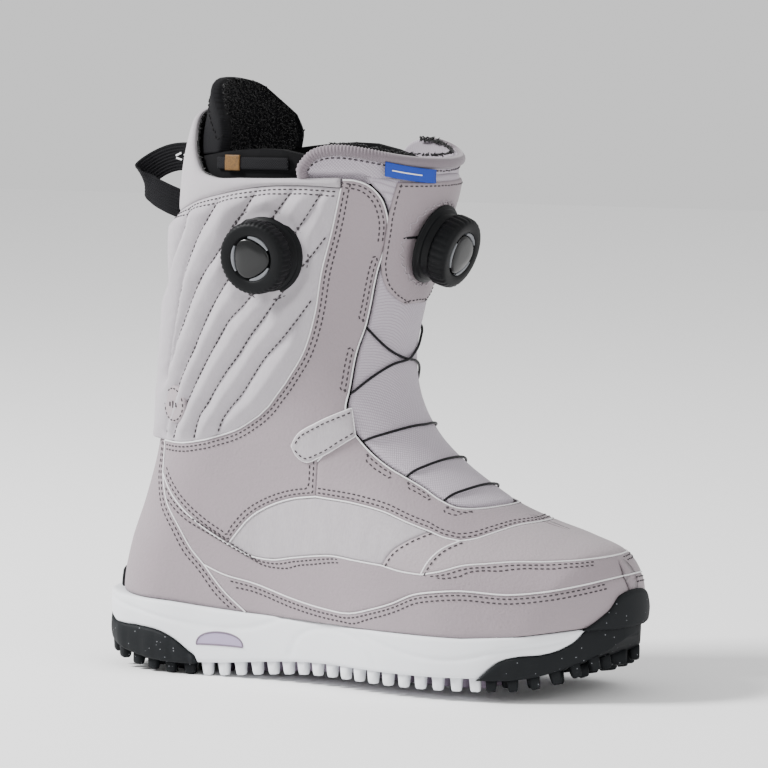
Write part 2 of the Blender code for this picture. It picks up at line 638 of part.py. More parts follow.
def shaft_grid(rise, edge, rim, rows, columns, knee_rows):
    """Side wall of a shaft layer, from the back outline to the front opening.

    Args:
        rise: Height of the lower edge above the sole's top face.
        edge: Drawn (x, z) points of the front edge, from the knee where the toe part ends.
        rim: Drawn (x, z) points of the upper edge, from the back to the front.
        rows: Number of rows.
        columns: Number of columns.
        knee_rows: How many of the rows lie below the knee.
    """
    start = snap_back(FEATHER[0])[0]
    split = place([(SPLIT, 0)])[0, 0]
    bottom = foot_line(start + (split - start) * np.linspace(0, 1, columns + 1) ** 1.5, rise)
    bottom[0] = BACK_LINE.between(bottom[0], bottom[0], 1)[0]
    knee = place(edge)[0]
    right = chain(straight(bottom[-1], knee, knee_rows),
                  spline(place(edge), np.linspace(0, 1, rows - knee_rows + 1)))
    crown = np.vstack([place(rim), right[-1:]])
    top = spline(crown, np.linspace(0, 1, columns + 1) ** 1.5)
    top[0] = snap_back(rim[0])
    return fill(bottom, top, on_back(bottom[0], top[0], rows), right)


def toe_grid(rise, knee, rows, columns, knee_rows):
    """Toe and instep part of a layer, from the shaft part's lower front edge over the toe."""
    split = place([(SPLIT, 0)])[0, 0]
    tip = snap_front(FEATHER[-1])[0]
    bottom = foot_line(split + (tip - split) * (1 - (1 - np.linspace(0, 1, columns + 1)) ** 1.7), rise)
    bottom[-1] = FRONT_LINE.between(bottom[-1], bottom[-1], 1)[0]
    crest = snap_front(LINER_CREST)
    right = on_front(bottom[-1], snap_front((114, 73)), rows)
    top = on_front(crest, right[-1], columns)
    bend = place([np.array(knee) * (0.45, 0.5) + np.array(LINER_CREST) * (0.55, 0.5) - (0, 1.5)])
    t = 1 - (1 - np.linspace(0, 1, rows - knee_rows + 1)) ** 1.8
    left = chain(straight(bottom[0], place([knee])[0], knee_rows),
                 spline(np.vstack([place([knee]), bend, crest[None]]), t))
    left[-1] = crest
    return fill(bottom, top, left, right)


def build_lining():
    """The shell's lining, heel counter, toe puff and ankle harness."""
    fleece = (BLACK, 0.95)
    grid = shaft_grid(FACE_GAP / 2, LINING_EDGE, COLLAR_RIM[:-1], 13, 11, 4)
    grid = shrink(grid, ["right", "top"], 2 * SEAM_GAP)
    grid[:, 0, 0] += MIDPLANE_INSET
    pair("shell_lining", grid, LINING, [], fleece)
    toe = toe_grid(FACE_GAP / 2, LINING_KNEE, 7, 9, 4)
    sheet("vamp_lining", shrink(toe, ["left"]), LINING, (-1, 1), ["right", "top"], fleece)

    low = snap_back((-134.5, 38))
    high = snap_back((-122, 84))
    bottom = away_from(low, place([(-62, 36)])[0], 6, 1.6)
    top = away_from(high, place([(-78, 78)])[0], 6, 1.6)
    cup = fill(bottom, top, on_back(low, high, 4), straight(bottom[-1], top[-1], 4))
    sheet("heel_counter", cup, STIFFENER, (-1, 1), ["left"], ((0.25, 0.25, 0.27), 0.5))

    tip = snap_front((143, 37))
    ridge = snap_front((122, 69))
    bottom = towards(place([(100, 35)])[0], tip, 5, 1.7)
    top = towards(place([(104, 66)])[0], ridge, 5, 1.7)
    puff = fill(bottom, top, straight(bottom[0], top[0], 4), on_front(tip, ridge, 4))
    sheet("toe_puff", puff, STIFFENER, (-1, 1), ["right"], ((0.75, 0.72, 0.62), 0.5))

    corners = place([(-84, 128), (-24, 134), (-16, 168), (-82, 158)])
    wing = fill(straight(corners[0], corners[1], 5), straight(corners[3], corners[2], 5),
                straight(corners[0], corners[3], 3), straight(corners[1], corners[2], 3))
    pair("ankle_harness", wing, STIFFENER, [], ((0.08, 0.08, 0.09), 0.6))


def build_liner():
    """The removable inner boot."""
    foam = ((0.05, 0.05, 0.055), 0.85)
    rise = LINER_PLATE[0]
    grid = shaft_grid(rise, LINER_EDGE, LINER_RIM, 14, 11, 4)
    grid = shrink(grid, ["right"], 2 * SEAM_GAP)
    sheet("liner_body", grid, LINER, (-1, 1), ["left"], foam)
    toe = toe_grid(rise, LINER_KNEE, 7, 9, 4)
    sheet("liner_toe_box", shrink(toe, ["left"]), LINER, (-1, 1), ["right", "top"], foam)

    low = snap_back((-95, 252.2))
    high = snap_back((-89, 291))
    bottom = away_from(low, place([(-64, 0)])[0], 7, 1.7)
    rim_z = value_at(LINER_RIM, bottom[:, 0] / BOOT_LENGTH * DRAWN_LENGTH) + 1.1
    bottom[:, 1] = place(np.stack([rim_z * 0, rim_z], 1))[:, 1]
    bottom[0] = BACK_LINE.between(bottom[0], bottom[0], 1)[0]
    edge = curve([(-64, 254.8), (-63, 262), (-66, 271)], 4)
    edge[0] = bottom[-1]
    crown = np.vstack([high[None], place([(-84, 288.5), (-76, 281)]), edge[-1:]])
    top = spline(crown, np.linspace(0, 1, 8) ** 1.5)
    flap = fill(bottom, top, on_back(bottom[0], high, 4), edge)
    sheet("liner_back_collar", flap, (LINER[0], 0.0055), (-1, 1), ["left"], (BLACK, 0.95))

    band = place([(-63, 246.5), (-17, 246.5), (-17, 252.5), (-63, 252.5)])
    strap = fill(straight(band[0], band[1], 5), straight(band[3], band[2], 5),
                 straight(band[0], band[3], 2), straight(band[1], band[2], 2))
    sheet("liner_strap", strap, STRAP, (-1,), [], (BLACK, 0.7))
    tag = place([(-55, 246), (-45.5, 246), (-45.5, 253.5), (-55, 253.5)])
    label = fill(straight(tag[0], tag[1], 2), straight(tag[3], tag[2], 2),
                 straight(tag[0], tag[3], 1), straight(tag[1], tag[2], 1))
    sheet("liner_label", label, STRAP_LABEL, (-1,), [], ((0.30, 0.19, 0.06), 0.5))


def plate(name, heights, depth, reach, finish, stations=13, width=None):
    """A plate inside the boot, following the sole's top face.

    Args:
        name: The node's name.
        heights: Lower and upper face above the sole's top face.
        depth: Depth of its edge inside the upper's surface.
        reach: Drawn x of its back and front end.
        finish: Colour and roughness.
        stations: Cross-sections along it.
        width: Half width, where it is narrower than the boot.
    """
    line = foot_line(np.linspace(snap_back(FEATHER[0])[0], snap_front(FEATHER[-1])[0], 300), heights[1])
    sides = [on_upper(line, side, depth)[0] for side in (-1, 1)]
    low = max(sides[0][:, 0].min(), place([(reach[0], 0)])[0, 0])
    high = min(sides[0][:, 0].max(), place([(reach[1], 0)])[0, 0])
    xs = (low + high) / 2 - (high - low) / 2 * np.cos(np.linspace(0.25, math.pi - 0.25, stations))
    edges = [np.interp(xs, side[:, 0], side[:, 1]) for side in sides]
    level = foot_line(xs, 0)[:, 1]
    bm = bmesh.new()
    sections = []
    for x, base, y0, y1 in zip(xs, level, *edges):
        if width:
            centre = (y0 + y1) / 2
            y0, y1 = centre - width, centre + width
        sections.append([bm.verts.new((x, y, base + h)) for y, h in
                         ((y0, heights[0]), (y1, heights[0]), (y1, heights[1]), (y0, heights[1]))])
    for a, b in zip(sections, sections[1:]):
        for i in range(4):
            j = (i + 1) % 4
            bm.faces.new([a[i], a[j], b[j], b[i]])
    bm.faces.new(sections[0])
    bm.faces.new(sections[-1])
    bmesh.ops.recalc_face_normals(bm, faces=bm.faces)
    return add_mesh(name, bm, finish)


def build_plates():
    """Shank, lasting board, liner sole and footbed."""
    inside = LINER[0] + LINER[1] + 0.0006
    plate("shank", SHANK_PLATE, 0, SHANK_REACH, ((0.35, 0.36, 0.38), 0.35, 0.9), 8, SHANK_HALF_WIDTH)
    in_lining = LINING[0] + LINING[1] + 0.0007
    plate("lasting_board", LASTING_PLATE, in_lining, WHOLE_FOOT, ((0.45, 0.40, 0.32), 0.8))
    plate("liner_sole", LINER_PLATE, inside, WHOLE_FOOT, (BLACK, 0.8))
    plate("footbed", FOOTBED_PLATE, inside + 0.0003, WHOLE_FOOT, ((0.2, 0.2, 0.22), 0.8))


# ---------------------------------------------------------------- tongue
def tongue_edge(segments):
    """The tongue's edge, a gap in front of the eyestay's edge, from its foot to the rim."""
    line = np.vstack([place(EYESTAY_LOW[:0:-1])[1:], place(EYESTAY_HIGH[:-2])])
    tangent = np.gradient(line, axis=0)
    tangent /= np.linalg.norm(tangent, axis=1)[:, None]
    away = np.stack([tangent[:, 1], -tangent[:, 0]], 1)
    line = line + away * TONGUE_GAP
    line[-1, 1] = place([(0, TONGUE_RISE)])[0, 1]
    line[-1, 0] = place([(33, 0)])[0, 0]
    return spline(line, np.linspace(0, 1, segments + 1))


def build_tongue():
    """The tongue, its top binding, dial patch, label, gussets and the liner's tongue."""
    rows = 15
    edge = tongue_edge(rows)
    foot = FRONT_LINE.between(edge[0], edge[0], 1)[0]
    foot = FRONT_LINE.at_reach(FRONT_LINE.nearest(foot[None])[3] - 0.003)[0]
    top_z = place([(0, TONGUE_RISE)])[0, 1]
    peak = snap_front((44, TONGUE_RISE))
    bottom = towards(edge[0], foot, 5, 1.8)
    top = towards(edge[-1], peak, 5, 1.8)
    body = fill(bottom, top, edge, on_front(foot, peak, rows))
    sheet("tongue", body, TONGUE, (-1, 1), ["right"], (PALE_GREY, 0.8))
    sheet("liner_tongue", body, LINER, (-1, 1), ["right"], (BLACK, 0.9))

    crown = place(TONGUE_TOP)
    low_end = snap_front((44.3, 244.5))
    low = towards(crown[0], low_end, 8, 1.7)
    low[:, 1] = np.linspace(crown[0, 1], low_end[1], 9)
    high = spline(crown[1:], 1 - (1 - np.linspace(0, 1, 9)) ** 1.7)
    high[-1] = snap_front((45.2, 252))
    binding = fill(low, high, straight(low[0], high[0], 3), on_front(low_end, high[-1], 3))
    sheet("tongue_binding", binding, (-0.0008, 0.0048), (-1, 1), ["right"], (PALE_GREY, 0.8))

    left = curve(DIAL_PATCH_EDGE, 7)
    low_end, high_end = snap_front((27, 181)), snap_front((43.5, 241))
    patch = fill(towards(left[0], low_end, 4, 1.8), towards(left[-1], high_end, 4, 1.8), left,
                 on_front(low_end, high_end, 7))
    sheet("tongue_dial_patch", patch, OVERLAY, (-1, 1), ["right"], (MAUVE, 0.5))

    ends = place([(31, 246), (42.8, 246.8), (43.4, 251.2), (31, 251.8)])
    tag = fill(straight(ends[0], ends[1], 3), straight(ends[3], ends[2], 3),
               straight(ends[0], ends[3], 1), straight(ends[1], ends[2], 1))
    sheet("tongue_label", tag, (-0.0018, 0.0005), (-1,), [], ((0.03, 0.07, 0.42), 0.6))

    edge = place(EYESTAY_LOW[5:0:-1] + EYESTAY_HIGH[:5] + [(18, 187)])
    line = spline(edge, np.linspace(0, 1, 14))
    tangent = np.gradient(line, axis=0)
    tangent /= np.linalg.norm(tangent, axis=1)[:, None]
    away = np.stack([tangent[:, 1], -tangent[:, 0]], 1)
    fold = np.stack([line - away * 0.006, line, line + away * 0.007], 1)
    pair("tongue_gusset", fold, GUSSET, [], (BLACK, 0.8))


# ---------------------------------------------------------------- dials
def dial_frame(point, outset, side=None, ridge=False):
    """A frame on the upper's surface with +Z pointing out of the boot."""
    spot, normal = on_upper(place([point]), side or -1, -outset, np.array([ridge]))
    axis = Vector(normal[0])
    across = Vector((0, 0, 1)).cross(axis).normalized()
    up = axis.cross(across)
    turn = Matrix((across, up, axis)).transposed().to_4x4()
    return Matrix.Translation(Vector(spot[0])) @ turn


def build_dial(name, frame):
    """One winding dial: housing, spool, lifting ring, knob, cap and screw."""
    dark = (BLACK, 0.45)
    flange, body, well = DIAL_FLANGE_RADIUS, DIAL_BODY_RADIUS, DIAL_WELL_RADIUS
    top = DIAL_BODY_HEIGHT
    turned(f"{name}_housing", [(POST_RADIUS, POST_HEIGHT), (POST_RADIUS, 0.0012), (well, 0.0012),
           (well, top), (body, top), (body + 0.0006, 0.0022), (flange, 0.0012), (flange, 0),
           (0, 0), (0, POST_HEIGHT)], frame, dark)
    rim = well - RUNNING_GAP
    turned(f"{name}_spool", [(SPOOL_HUB_RADIUS, 0.0050), (rim, 0.0050), (rim, 0.0043),
           (0.008, 0.0038), (0.008, 0.0025), (rim, 0.0020), (rim, 0.0016),
           (SPOOL_HUB_RADIUS, 0.0016)], frame, ((0.6, 0.6, 0.6), 0.4))
    turned(f"{name}_lifting_ring", [(SPOOL_HUB_RADIUS, 0.0074), (rim, 0.0074), (rim, 0.0054),
           (SPOOL_HUB_RADIUS, 0.0054)], frame, ((0.3, 0.3, 0.32), 0.5))
    base = top + RUNNING_GAP
    crown = base + KNOB_HEIGHT
    turned(f"{name}_knob", [(0.0105, crown), (0.0165, crown), (KNOB_RADIUS, crown - 0.0014),
           (KNOB_RADIUS, base + 0.0008), (KNOB_RADIUS - 0.0008, base), (well, base),
           (well, base + 0.0009), (SPOOL_HUB_RADIUS + 0.0002, base + 0.0009),
           (SPOOL_HUB_RADIUS + 0.0002, base + 0.0019), (0.0052, base + 0.0019),
           (0.0052, crown - 0.0012), (0.0105, crown - 0.0012)], frame, dark)
    turned(f"{name}_cap", [(0.0, crown + 0.0002), (0.0098, crown + 0.0002), (0.0102, crown - 0.0004),
           (0.0102, crown - 0.0009), (0.0, crown - 0.0009)], frame, (BLACK, 0.25))
    head = POST_HEIGHT + 0.0003
    turned(f"{name}_screw", [(0.0, head + 0.0009), (0.0026, head + 0.0009), (0.0032, head + 0.0003),
           (0.0032, head), (0.0, head)], frame, ((0.6, 0.6, 0.6), 0.3, 1.0), 12)


def build_dials():
    """Both dials, and the openings in the panels under the side dial."""
    side = dial_frame(SIDE_DIAL, -(SKIN[1] + 0.0001))
    build_dial("side_dial", side)
    cut(bpy.data.objects["quilted_cuff_lateral"],
        cylinder_cutter("side_dial_opening", DIAL_FLANGE_RADIUS + 0.0008, 0.03, side))
    cut(bpy.data.objects["shell_lining_lateral"],
        cylinder_cutter("harness_lace_hole", 0.004, 0.03, side))
    front = dial_frame(FRONT_DIAL, 0.0027, ridge=True)
    build_dial("front_dial", front)
    return side, front


# ---------------------------------------------------------------- laces, guides and webbing
def lace_point(point, side, depth, ridge=False):
    """A lace's centre at a drawn side-view point and a depth."""
    return on_upper(place([point]), side, depth, np.array([ridge]))[0][0]


def crossing(x, z, lean, lift):
    """One straight crossing over the tongue, from the lateral guide to the medial one.

    Args:
        x: Drawn x of the guide's mouth at the eyestay's edge.
        z: Drawn z of the guide's mouth.
        lean: Direction, in degrees above +X, in which the lace leaves the edge.
        lift: How far up the instep the lace's crest lies.
    """
    away = np.array([math.cos(math.radians(lean)), math.sin(math.radians(lean))])
    crest = FRONT_LINE.nearest(place([np.array((x, z)) + away * 12 + (0, lift)]))[3]
    top = FRONT_LINE.at_reach(crest)[0]
    outer = np.array((x, z)) + away * 6.5
    halves = []
    for side in (-1, 1):
        half = [lace_point((x, z) + away * reach, side, depth)
                for reach, depth in ((-4.5, LACE_DEPTH), (1.2, 0.0024), (2.8, -0.0008), (6.5, LACE_OVER))]
        half += [on_upper((place([outer])[0] * (1 - t) + top * t)[None], side, LACE_OVER)[0][0]
                 for t in (0.3, 0.55, 0.8)]
        halves.append(half)
    ridge = on_upper(top[None], -1, LACE_OVER, np.array([True]))[0][0]
    return halves[0] + [ridge] + halves[1][::-1]


def lace_entry(side, front_frame):
    """From the front dial to the upper guide of one side and out at its lower mouth."""
    out = [tuple(front_frame @ Vector((side * reach, -0.001, height)))
           for reach, height in ((DIAL_FLANGE_RADIUS + 0.0004, 0.0010), (0.0222, -0.0026))]
    return out + [lace_point((28.6, 213.5), side, 0.0001), lace_point((27.3, 212.7), side, 0.0022),
                  lace_point((23.6, 210), side, LACE_DEPTH), lace_point((19.0, 200), side, LACE_DEPTH),
                  lace_point((14.0, 185), side, LACE_DEPTH), lace_point((11.3, 176), side, LACE_DEPTH),
                  lace_point((12.0, 172), side, LACE_DEPTH), lace_point((15.1, 170.2), side, 0.0024),
                  lace_point((16.5, 169.2), side, -0.0008), lace_point((20, 166), side, LACE_OVER)]


def lace_cross(side, lift):
    """Over the tongue from one side's upper guide to the other side's lower guide."""
    return [lace_point((20.9, 158.5), side, LACE_OVER - lift * 0.8),
            lace_point((21.1, 152), side, LACE_OVER - lift, True),
            lace_point((20.0, 147), -side, LACE_OVER - lift * 0.6),
            lace_point((13.8, 140.4), -side, LACE_OVER), lace_point((9.7, 138.7), -side, -0.0008),
            lace_point((8.5, 138.2), -side, 0.0023), lace_point((5.0, 136.7), -side, LACE_DEPTH)]


def build_laces(side_frame, front_frame):
    """The front lace from end to end, the harness lace, and the guides behind the eyestays."""
    black = (BLACK, 0.5)
    under = LACE_DEPTH
    first, second, third = (crossing(*spot) for spot in
                            ((14, 115, 34, 2), (37, 99, 50, 2), (57, 88.5, 52, 2)))
    long_run = [lace_point(p, 1, under) for p in
                ((1.0, 131), (-0.5, 122), (3, 113), (12, 105), (24, 96.5), (36, 90), (46, 85))]
    route = lace_entry(-1, front_frame) + lace_cross(-1, 0.0018) + long_run + third[::-1]
    route += [lace_point(p, -1, under) for p in ((48, 87), (40, 91.5), (34, 94.5))] + second
    route += [lace_point(p, 1, under) for p in ((28, 99.5), (20, 104.5), (12, 109.5))] + first[::-1]
    route += [lace_point(p, -1, under) for p in ((5, 118), (2, 125), (2, 132))]
    route += (lace_entry(1, front_frame) + lace_cross(1, 0.0))[::-1]
    tube("front_lace", route, LACE_RADIUS, black)
    start = side_frame @ Vector((0, 0, -0.0004))
    hidden = STIFFENER[0] + 0.0003
    route = [tuple(start), tuple(side_frame @ Vector((0, 0, -0.0016))),
             lace_point((-26.5, 205), -1, hidden), lace_point((-14, 203.5), -1, hidden),
             lace_point((0, 202), -1, hidden), lace_point((12, 201), -1, hidden),
             lace_point((21, 201), -1, hidden), lace_point((27, 201), -1, hidden),
             lace_point((30.2, 201), -1, hidden), lace_point((31.8, 201), -1, hidden, True),
             lace_point((30.2, 200.5), 1, hidden), lace_point((27, 200), 1, hidden),
             lace_point((21, 198), 1, hidden), lace_point((10, 192), 1, hidden),
             lace_point((-6, 180), 1, hidden), lace_point((-15, 169.5), 1, hidden)]
    tube("harness_lace", route, LACE_RADIUS, black)
    line = spline(place([(13, 190), (6, 168), (1, 140), (4, 116), (24, 99), (46, 86)]),
                  np.linspace(0, 1, 15))
    guide = np.stack([line - (0.005, 0.001), line + (0.003, 0.003)], 1)
    pair("lace_guide", guide, GUIDE, [], (BLACK, 0.8))


def build_pull_loop():
    """The webbing loop at the top of the back, a flat band along a folded path."""
    path = np.array([(-97.8, 5.2, 248), (-108, 7.0, 249.5), (-118, 6.2, 248.5), (-126, 3.0, 244.5),
                     (-129, -1.5, 240.5), (-126.5, -5.4, 237), (-120, -7.6, 233), (-111, -8.2, 229),
                     (-103.2, -7.2, 226)]) * MM
    scale = (BOOT_LENGTH * 1000 / DRAWN_LENGTH, 1, SHAFT_HEIGHT * 1000 / DRAWN_HEIGHT)
    line = spline(path * scale, np.linspace(0, 1, 19), 3)
    tangent = np.gradient(line, axis=0)
    tangent /= np.linalg.norm(tangent, axis=1)[:, None]
    bm = bmesh.new()
    sections = []
    for spot, along, share in zip(line, tangent, np.linspace(0, 1, len(line))):
        tall = Vector((-0.35 * math.sin(math.pi * share) - 0.15 * share, 0, 1))
        along = Vector(along)
        tall = (tall - along * tall.dot(along)).normalized() * WEBBING_WIDTH / 2
        thick = along.cross(tall).normalized() * WEBBING_THICKNESS / 2
        sections.append([bm.verts.new(Vector(spot) + a * tall + b * thick)
                         for a, b in ((-1, -1), (1, -1), (1, 1), (-1, 1))])
    for a, b in zip(sections, sections[1:]):
        for i in range(4):
            j = (i + 1) % 4
            bm.faces.new([a[i], a[j], b[j], b[i]])
    bm.faces.new(sections[0])
    bm.faces.new(sections[-1])
    bmesh.ops.recalc_face_normals(bm, faces=bm.faces)
    add_mesh("pull_loop", bm, (BLACK, 0.7))


# ---------------------------------------------------------------- sole
def sole_half_width(x):
    """Half width of the sole at a place along it."""
    drawn = value_at(SOLE_PLAN, x / BOOT_LENGTH * DRAWN_LENGTH) * MM
    return drawn / (WIDEST_FOOT * MM) * FOREFOOT_WIDTH / 2


def sole_heights(table, x):
    """A drawn height along the sole, in metres."""
    return value_at(table, x / BOOT_LENGTH * DRAWN_LENGTH) * MM


def sole_block(name, xs, top, bottom, ground, finish, lugs, inset=0.0, rows=7):
    """A block of the sole with lugs drawn down from its underside.

    Args:
        name: The node's name.
        xs: Places of its cross-sections.
        top: Height of its top face at each place.
        bottom: Height of its underside at each place.
        ground: Height that its lugs reach at each place.
        finish: Colour and roughness.
        lugs: A rule that says whether the cell at (column, row) carries a lug.
        inset: How far its side wall stays inside the sole's plan.
        rows: Cells across.
    """
    bm = bmesh.new()
    v = np.linspace(-1, 1, rows + 1)
    centre = middle(xs, xs * 0)
    wide = sole_half_width(xs) - inset
    grid = {}
    for kind, heights in (("top", top), ("bottom", bottom)):
        grid[kind] = [[bm.verts.new((x, c + w * s, z)) for s in v]
                      for x, c, w, z in zip(xs, centre, wide, heights)]
    lugged = []
    for i in range(len(xs) - 1):
        for j in range(rows):
            for kind in ("top", "bottom"):
                g = grid[kind]
                face = bm.faces.new([g[i][j], g[i + 1][j], g[i + 1][j + 1], g[i][j + 1]])
                if kind == "bottom" and lugs(i, j):
                    lugged.append(face)
    for i in range(len(xs) - 1):
        for j in (0, rows):
            t, b = grid["top"], grid["bottom"]
            bm.faces.new([t[i][j], t[i + 1][j], b[i + 1][j], b[i][j]])
    for i in (0, len(xs) - 1):
        for j in range(rows):
            t, b = grid["top"], grid["bottom"]
            bm.faces.new([t[i][j], t[i][j + 1], b[i][j + 1], b[i][j]])
    bmesh.ops.recalc_face_normals(bm, faces=bm.faces)
    for face in lugged:
        bmesh.ops.inset_individual(bm, faces=[face], thickness=LUG_INSET, use_even_offset=True)
        for vert in face.verts:
            vert.co.z = float(np.interp(vert.co.x, xs, ground))
    return add_mesh(name, bm, finish)


def build_sole():
    """Midsole, heel and toe rubber, and the cushion bar through the heel."""
    heel, toe = SOLE_PLAN[0][0], SOLE_PLAN[-1][0]
    crowded = np.linspace(0, 1, 8) ** 1.4
    drawn = np.concatenate([heel + (HEEL_RUBBER_FRONT - heel) * crowded,
                            np.linspace(HEEL_RUBBER_FRONT, TOE_RUBBER_BACK, 15)[1:],
                            toe + (TOE_RUBBER_BACK - toe) * crowded[-2::-1]])
    xs = drawn * BOOT_LENGTH / DRAWN_LENGTH
    feather = place(FEATHER)
    top = np.interp(xs, feather[:, 0], feather[:, 1]) - FACE_GAP
    ground = sole_heights(GROUND, xs)
    ground[np.abs(ground) < 0.0002] = 0
    heel_end, toe_start = 7, len(xs) - 8
    level = ground + LUG_DEPTH
    bottom = level.copy()
    bottom[: heel_end + 1] = sole_heights(HEEL_RUBBER_TOP, xs[: heel_end + 1]) + FACE_GAP
    bottom[toe_start:] = sole_heights(TOE_RUBBER_TOP, xs[toe_start:]) + FACE_GAP
    every_other = lambda i, j: heel_end < i < toe_start - 1 and (i + j) % 2 == 0
    midsole = sole_block("midsole", xs, top, bottom, ground, (WHITE, 0.6), every_other)
    back, front, low, high = CUSHION_BAR
    ends = place([(back, low), (front, high)])
    for name, grow in (("heel_cushion_bar", 0.0), ("cushion_bar_slot", FACE_GAP)):
        x0, x1 = ends[0, 0] - grow, ends[1, 0] + grow
        z0, z1 = ends[0, 1] - grow, ends[1, 1] + grow
        reach = sole_half_width(np.array([(x0 + x1) / 2]))[0] + (0.01 if grow else 0.0004)
        bm = bmesh.new()
        rings = []
        for y in (-reach, reach):
            arch = [(x0 + (x1 - x0) * t, z0 + (z1 - z0) * math.sin(math.pi * t) ** 0.8)
                    for t in np.linspace(0, 1, 9)]
            rings.append([bm.verts.new((x, y, z)) for x, z in arch])
        count = len(rings[0])
        for i in range(count):
            j = (i + 1) % count
            bm.faces.new([rings[0][i], rings[0][j], rings[1][j], rings[1][i]])
        bm.faces.new(rings[0])
        bm.faces.new(rings[1])
        bmesh.ops.recalc_face_normals(bm, faces=bm.faces)
        made = add_mesh(name, bm, (LILAC, 0.4), "cutters" if grow else "snowboard_boot")
    cut(midsole, made)

    part = slice(0, heel_end + 1)
    x = xs[part].copy()
    x[-1] -= FACE_GAP
    sole_block("outsole_heel", x, sole_heights(HEEL_RUBBER_TOP, x), level[part], ground[part],
               (BLACK, 0.6), lambda i, j: (i + j) % 2 == 1 and i > 0)
    part = slice(toe_start, len(xs))
    x = xs[part].copy()
    x[0] += FACE_GAP
    sole_block("outsole_toe", x, sole_heights(TOE_RUBBER_TOP, x), level[part], ground[part],
               (BLACK, 0.6), lambda i, j: (i + j) % 2 == 0 and i < 6)


def main():
    """Builds the whole boot."""
    for thing in list(bpy.data.objects):
        bpy.data.objects.remove(thing, do_unlink=True)
    for name in ("snowboard_boot", "cutters"):
        bpy.context.scene.collection.children.link(bpy.data.collections.new(name))
    seam = seam_network()
    build_skin(seam)
    build_overlays()
    build_lining()
    build_liner()
    build_plates()
    build_tongue()
    side, front = build_dials()
    build_laces(side, front)
    build_pull_loop()
    build_sole()


main()
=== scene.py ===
"""Looks of a right snowboard boot with two winding dials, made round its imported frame.

Metres, +X towards the toe, +Z up, -Y the outer side. The upper is one smooth form: a side outline
with rounded edges. Every panel is a fine grid on that form between shared seams, with its own
edge roll, padding, piping and stitch rows.
"""

import json
import logging
import math
from dataclasses import dataclass, field
from enum import Enum
from typing import Callable, Iterable, Sequence

import bpy
import numpy as np
from mathutils import Matrix, Vector, kdtree


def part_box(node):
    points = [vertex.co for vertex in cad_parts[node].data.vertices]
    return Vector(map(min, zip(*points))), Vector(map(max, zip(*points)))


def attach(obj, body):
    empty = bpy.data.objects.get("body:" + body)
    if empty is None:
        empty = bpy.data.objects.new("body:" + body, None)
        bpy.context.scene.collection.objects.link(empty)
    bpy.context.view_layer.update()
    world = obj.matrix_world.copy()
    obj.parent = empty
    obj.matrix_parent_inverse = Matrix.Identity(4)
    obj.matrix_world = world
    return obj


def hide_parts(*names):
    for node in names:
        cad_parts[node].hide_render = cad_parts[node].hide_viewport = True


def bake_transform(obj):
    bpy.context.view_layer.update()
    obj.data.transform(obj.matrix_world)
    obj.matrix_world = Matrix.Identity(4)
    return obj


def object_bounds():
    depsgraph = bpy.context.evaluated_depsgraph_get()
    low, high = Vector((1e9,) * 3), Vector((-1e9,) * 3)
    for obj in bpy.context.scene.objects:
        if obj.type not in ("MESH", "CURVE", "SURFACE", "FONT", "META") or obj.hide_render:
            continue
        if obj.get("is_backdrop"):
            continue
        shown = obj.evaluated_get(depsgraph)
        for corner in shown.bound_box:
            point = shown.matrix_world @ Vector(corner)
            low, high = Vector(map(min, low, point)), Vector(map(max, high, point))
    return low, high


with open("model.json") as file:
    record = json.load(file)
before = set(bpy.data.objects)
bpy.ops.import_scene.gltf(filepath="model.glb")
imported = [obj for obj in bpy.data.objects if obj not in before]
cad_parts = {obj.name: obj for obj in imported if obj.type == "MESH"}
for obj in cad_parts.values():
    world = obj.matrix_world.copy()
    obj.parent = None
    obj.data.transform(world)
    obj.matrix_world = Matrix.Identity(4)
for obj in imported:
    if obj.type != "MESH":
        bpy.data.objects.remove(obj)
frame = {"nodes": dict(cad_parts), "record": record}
CAD_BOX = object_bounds()
LOG = logging.getLogger("snowboard_boot")

MM = 0.001
Array = np.ndarray
Points = Sequence[Sequence[float]]


class Side(Enum):
    """Which half of the boot a point or panel is on, as the sign of y."""

    LATERAL = -1
    MEDIAL = 1


class Edge(Enum):
    """An edge of a panel's grid."""

    BOTTOM = "bottom"
    TOP = "top"
    LEFT = "left"
    RIGHT = "right"


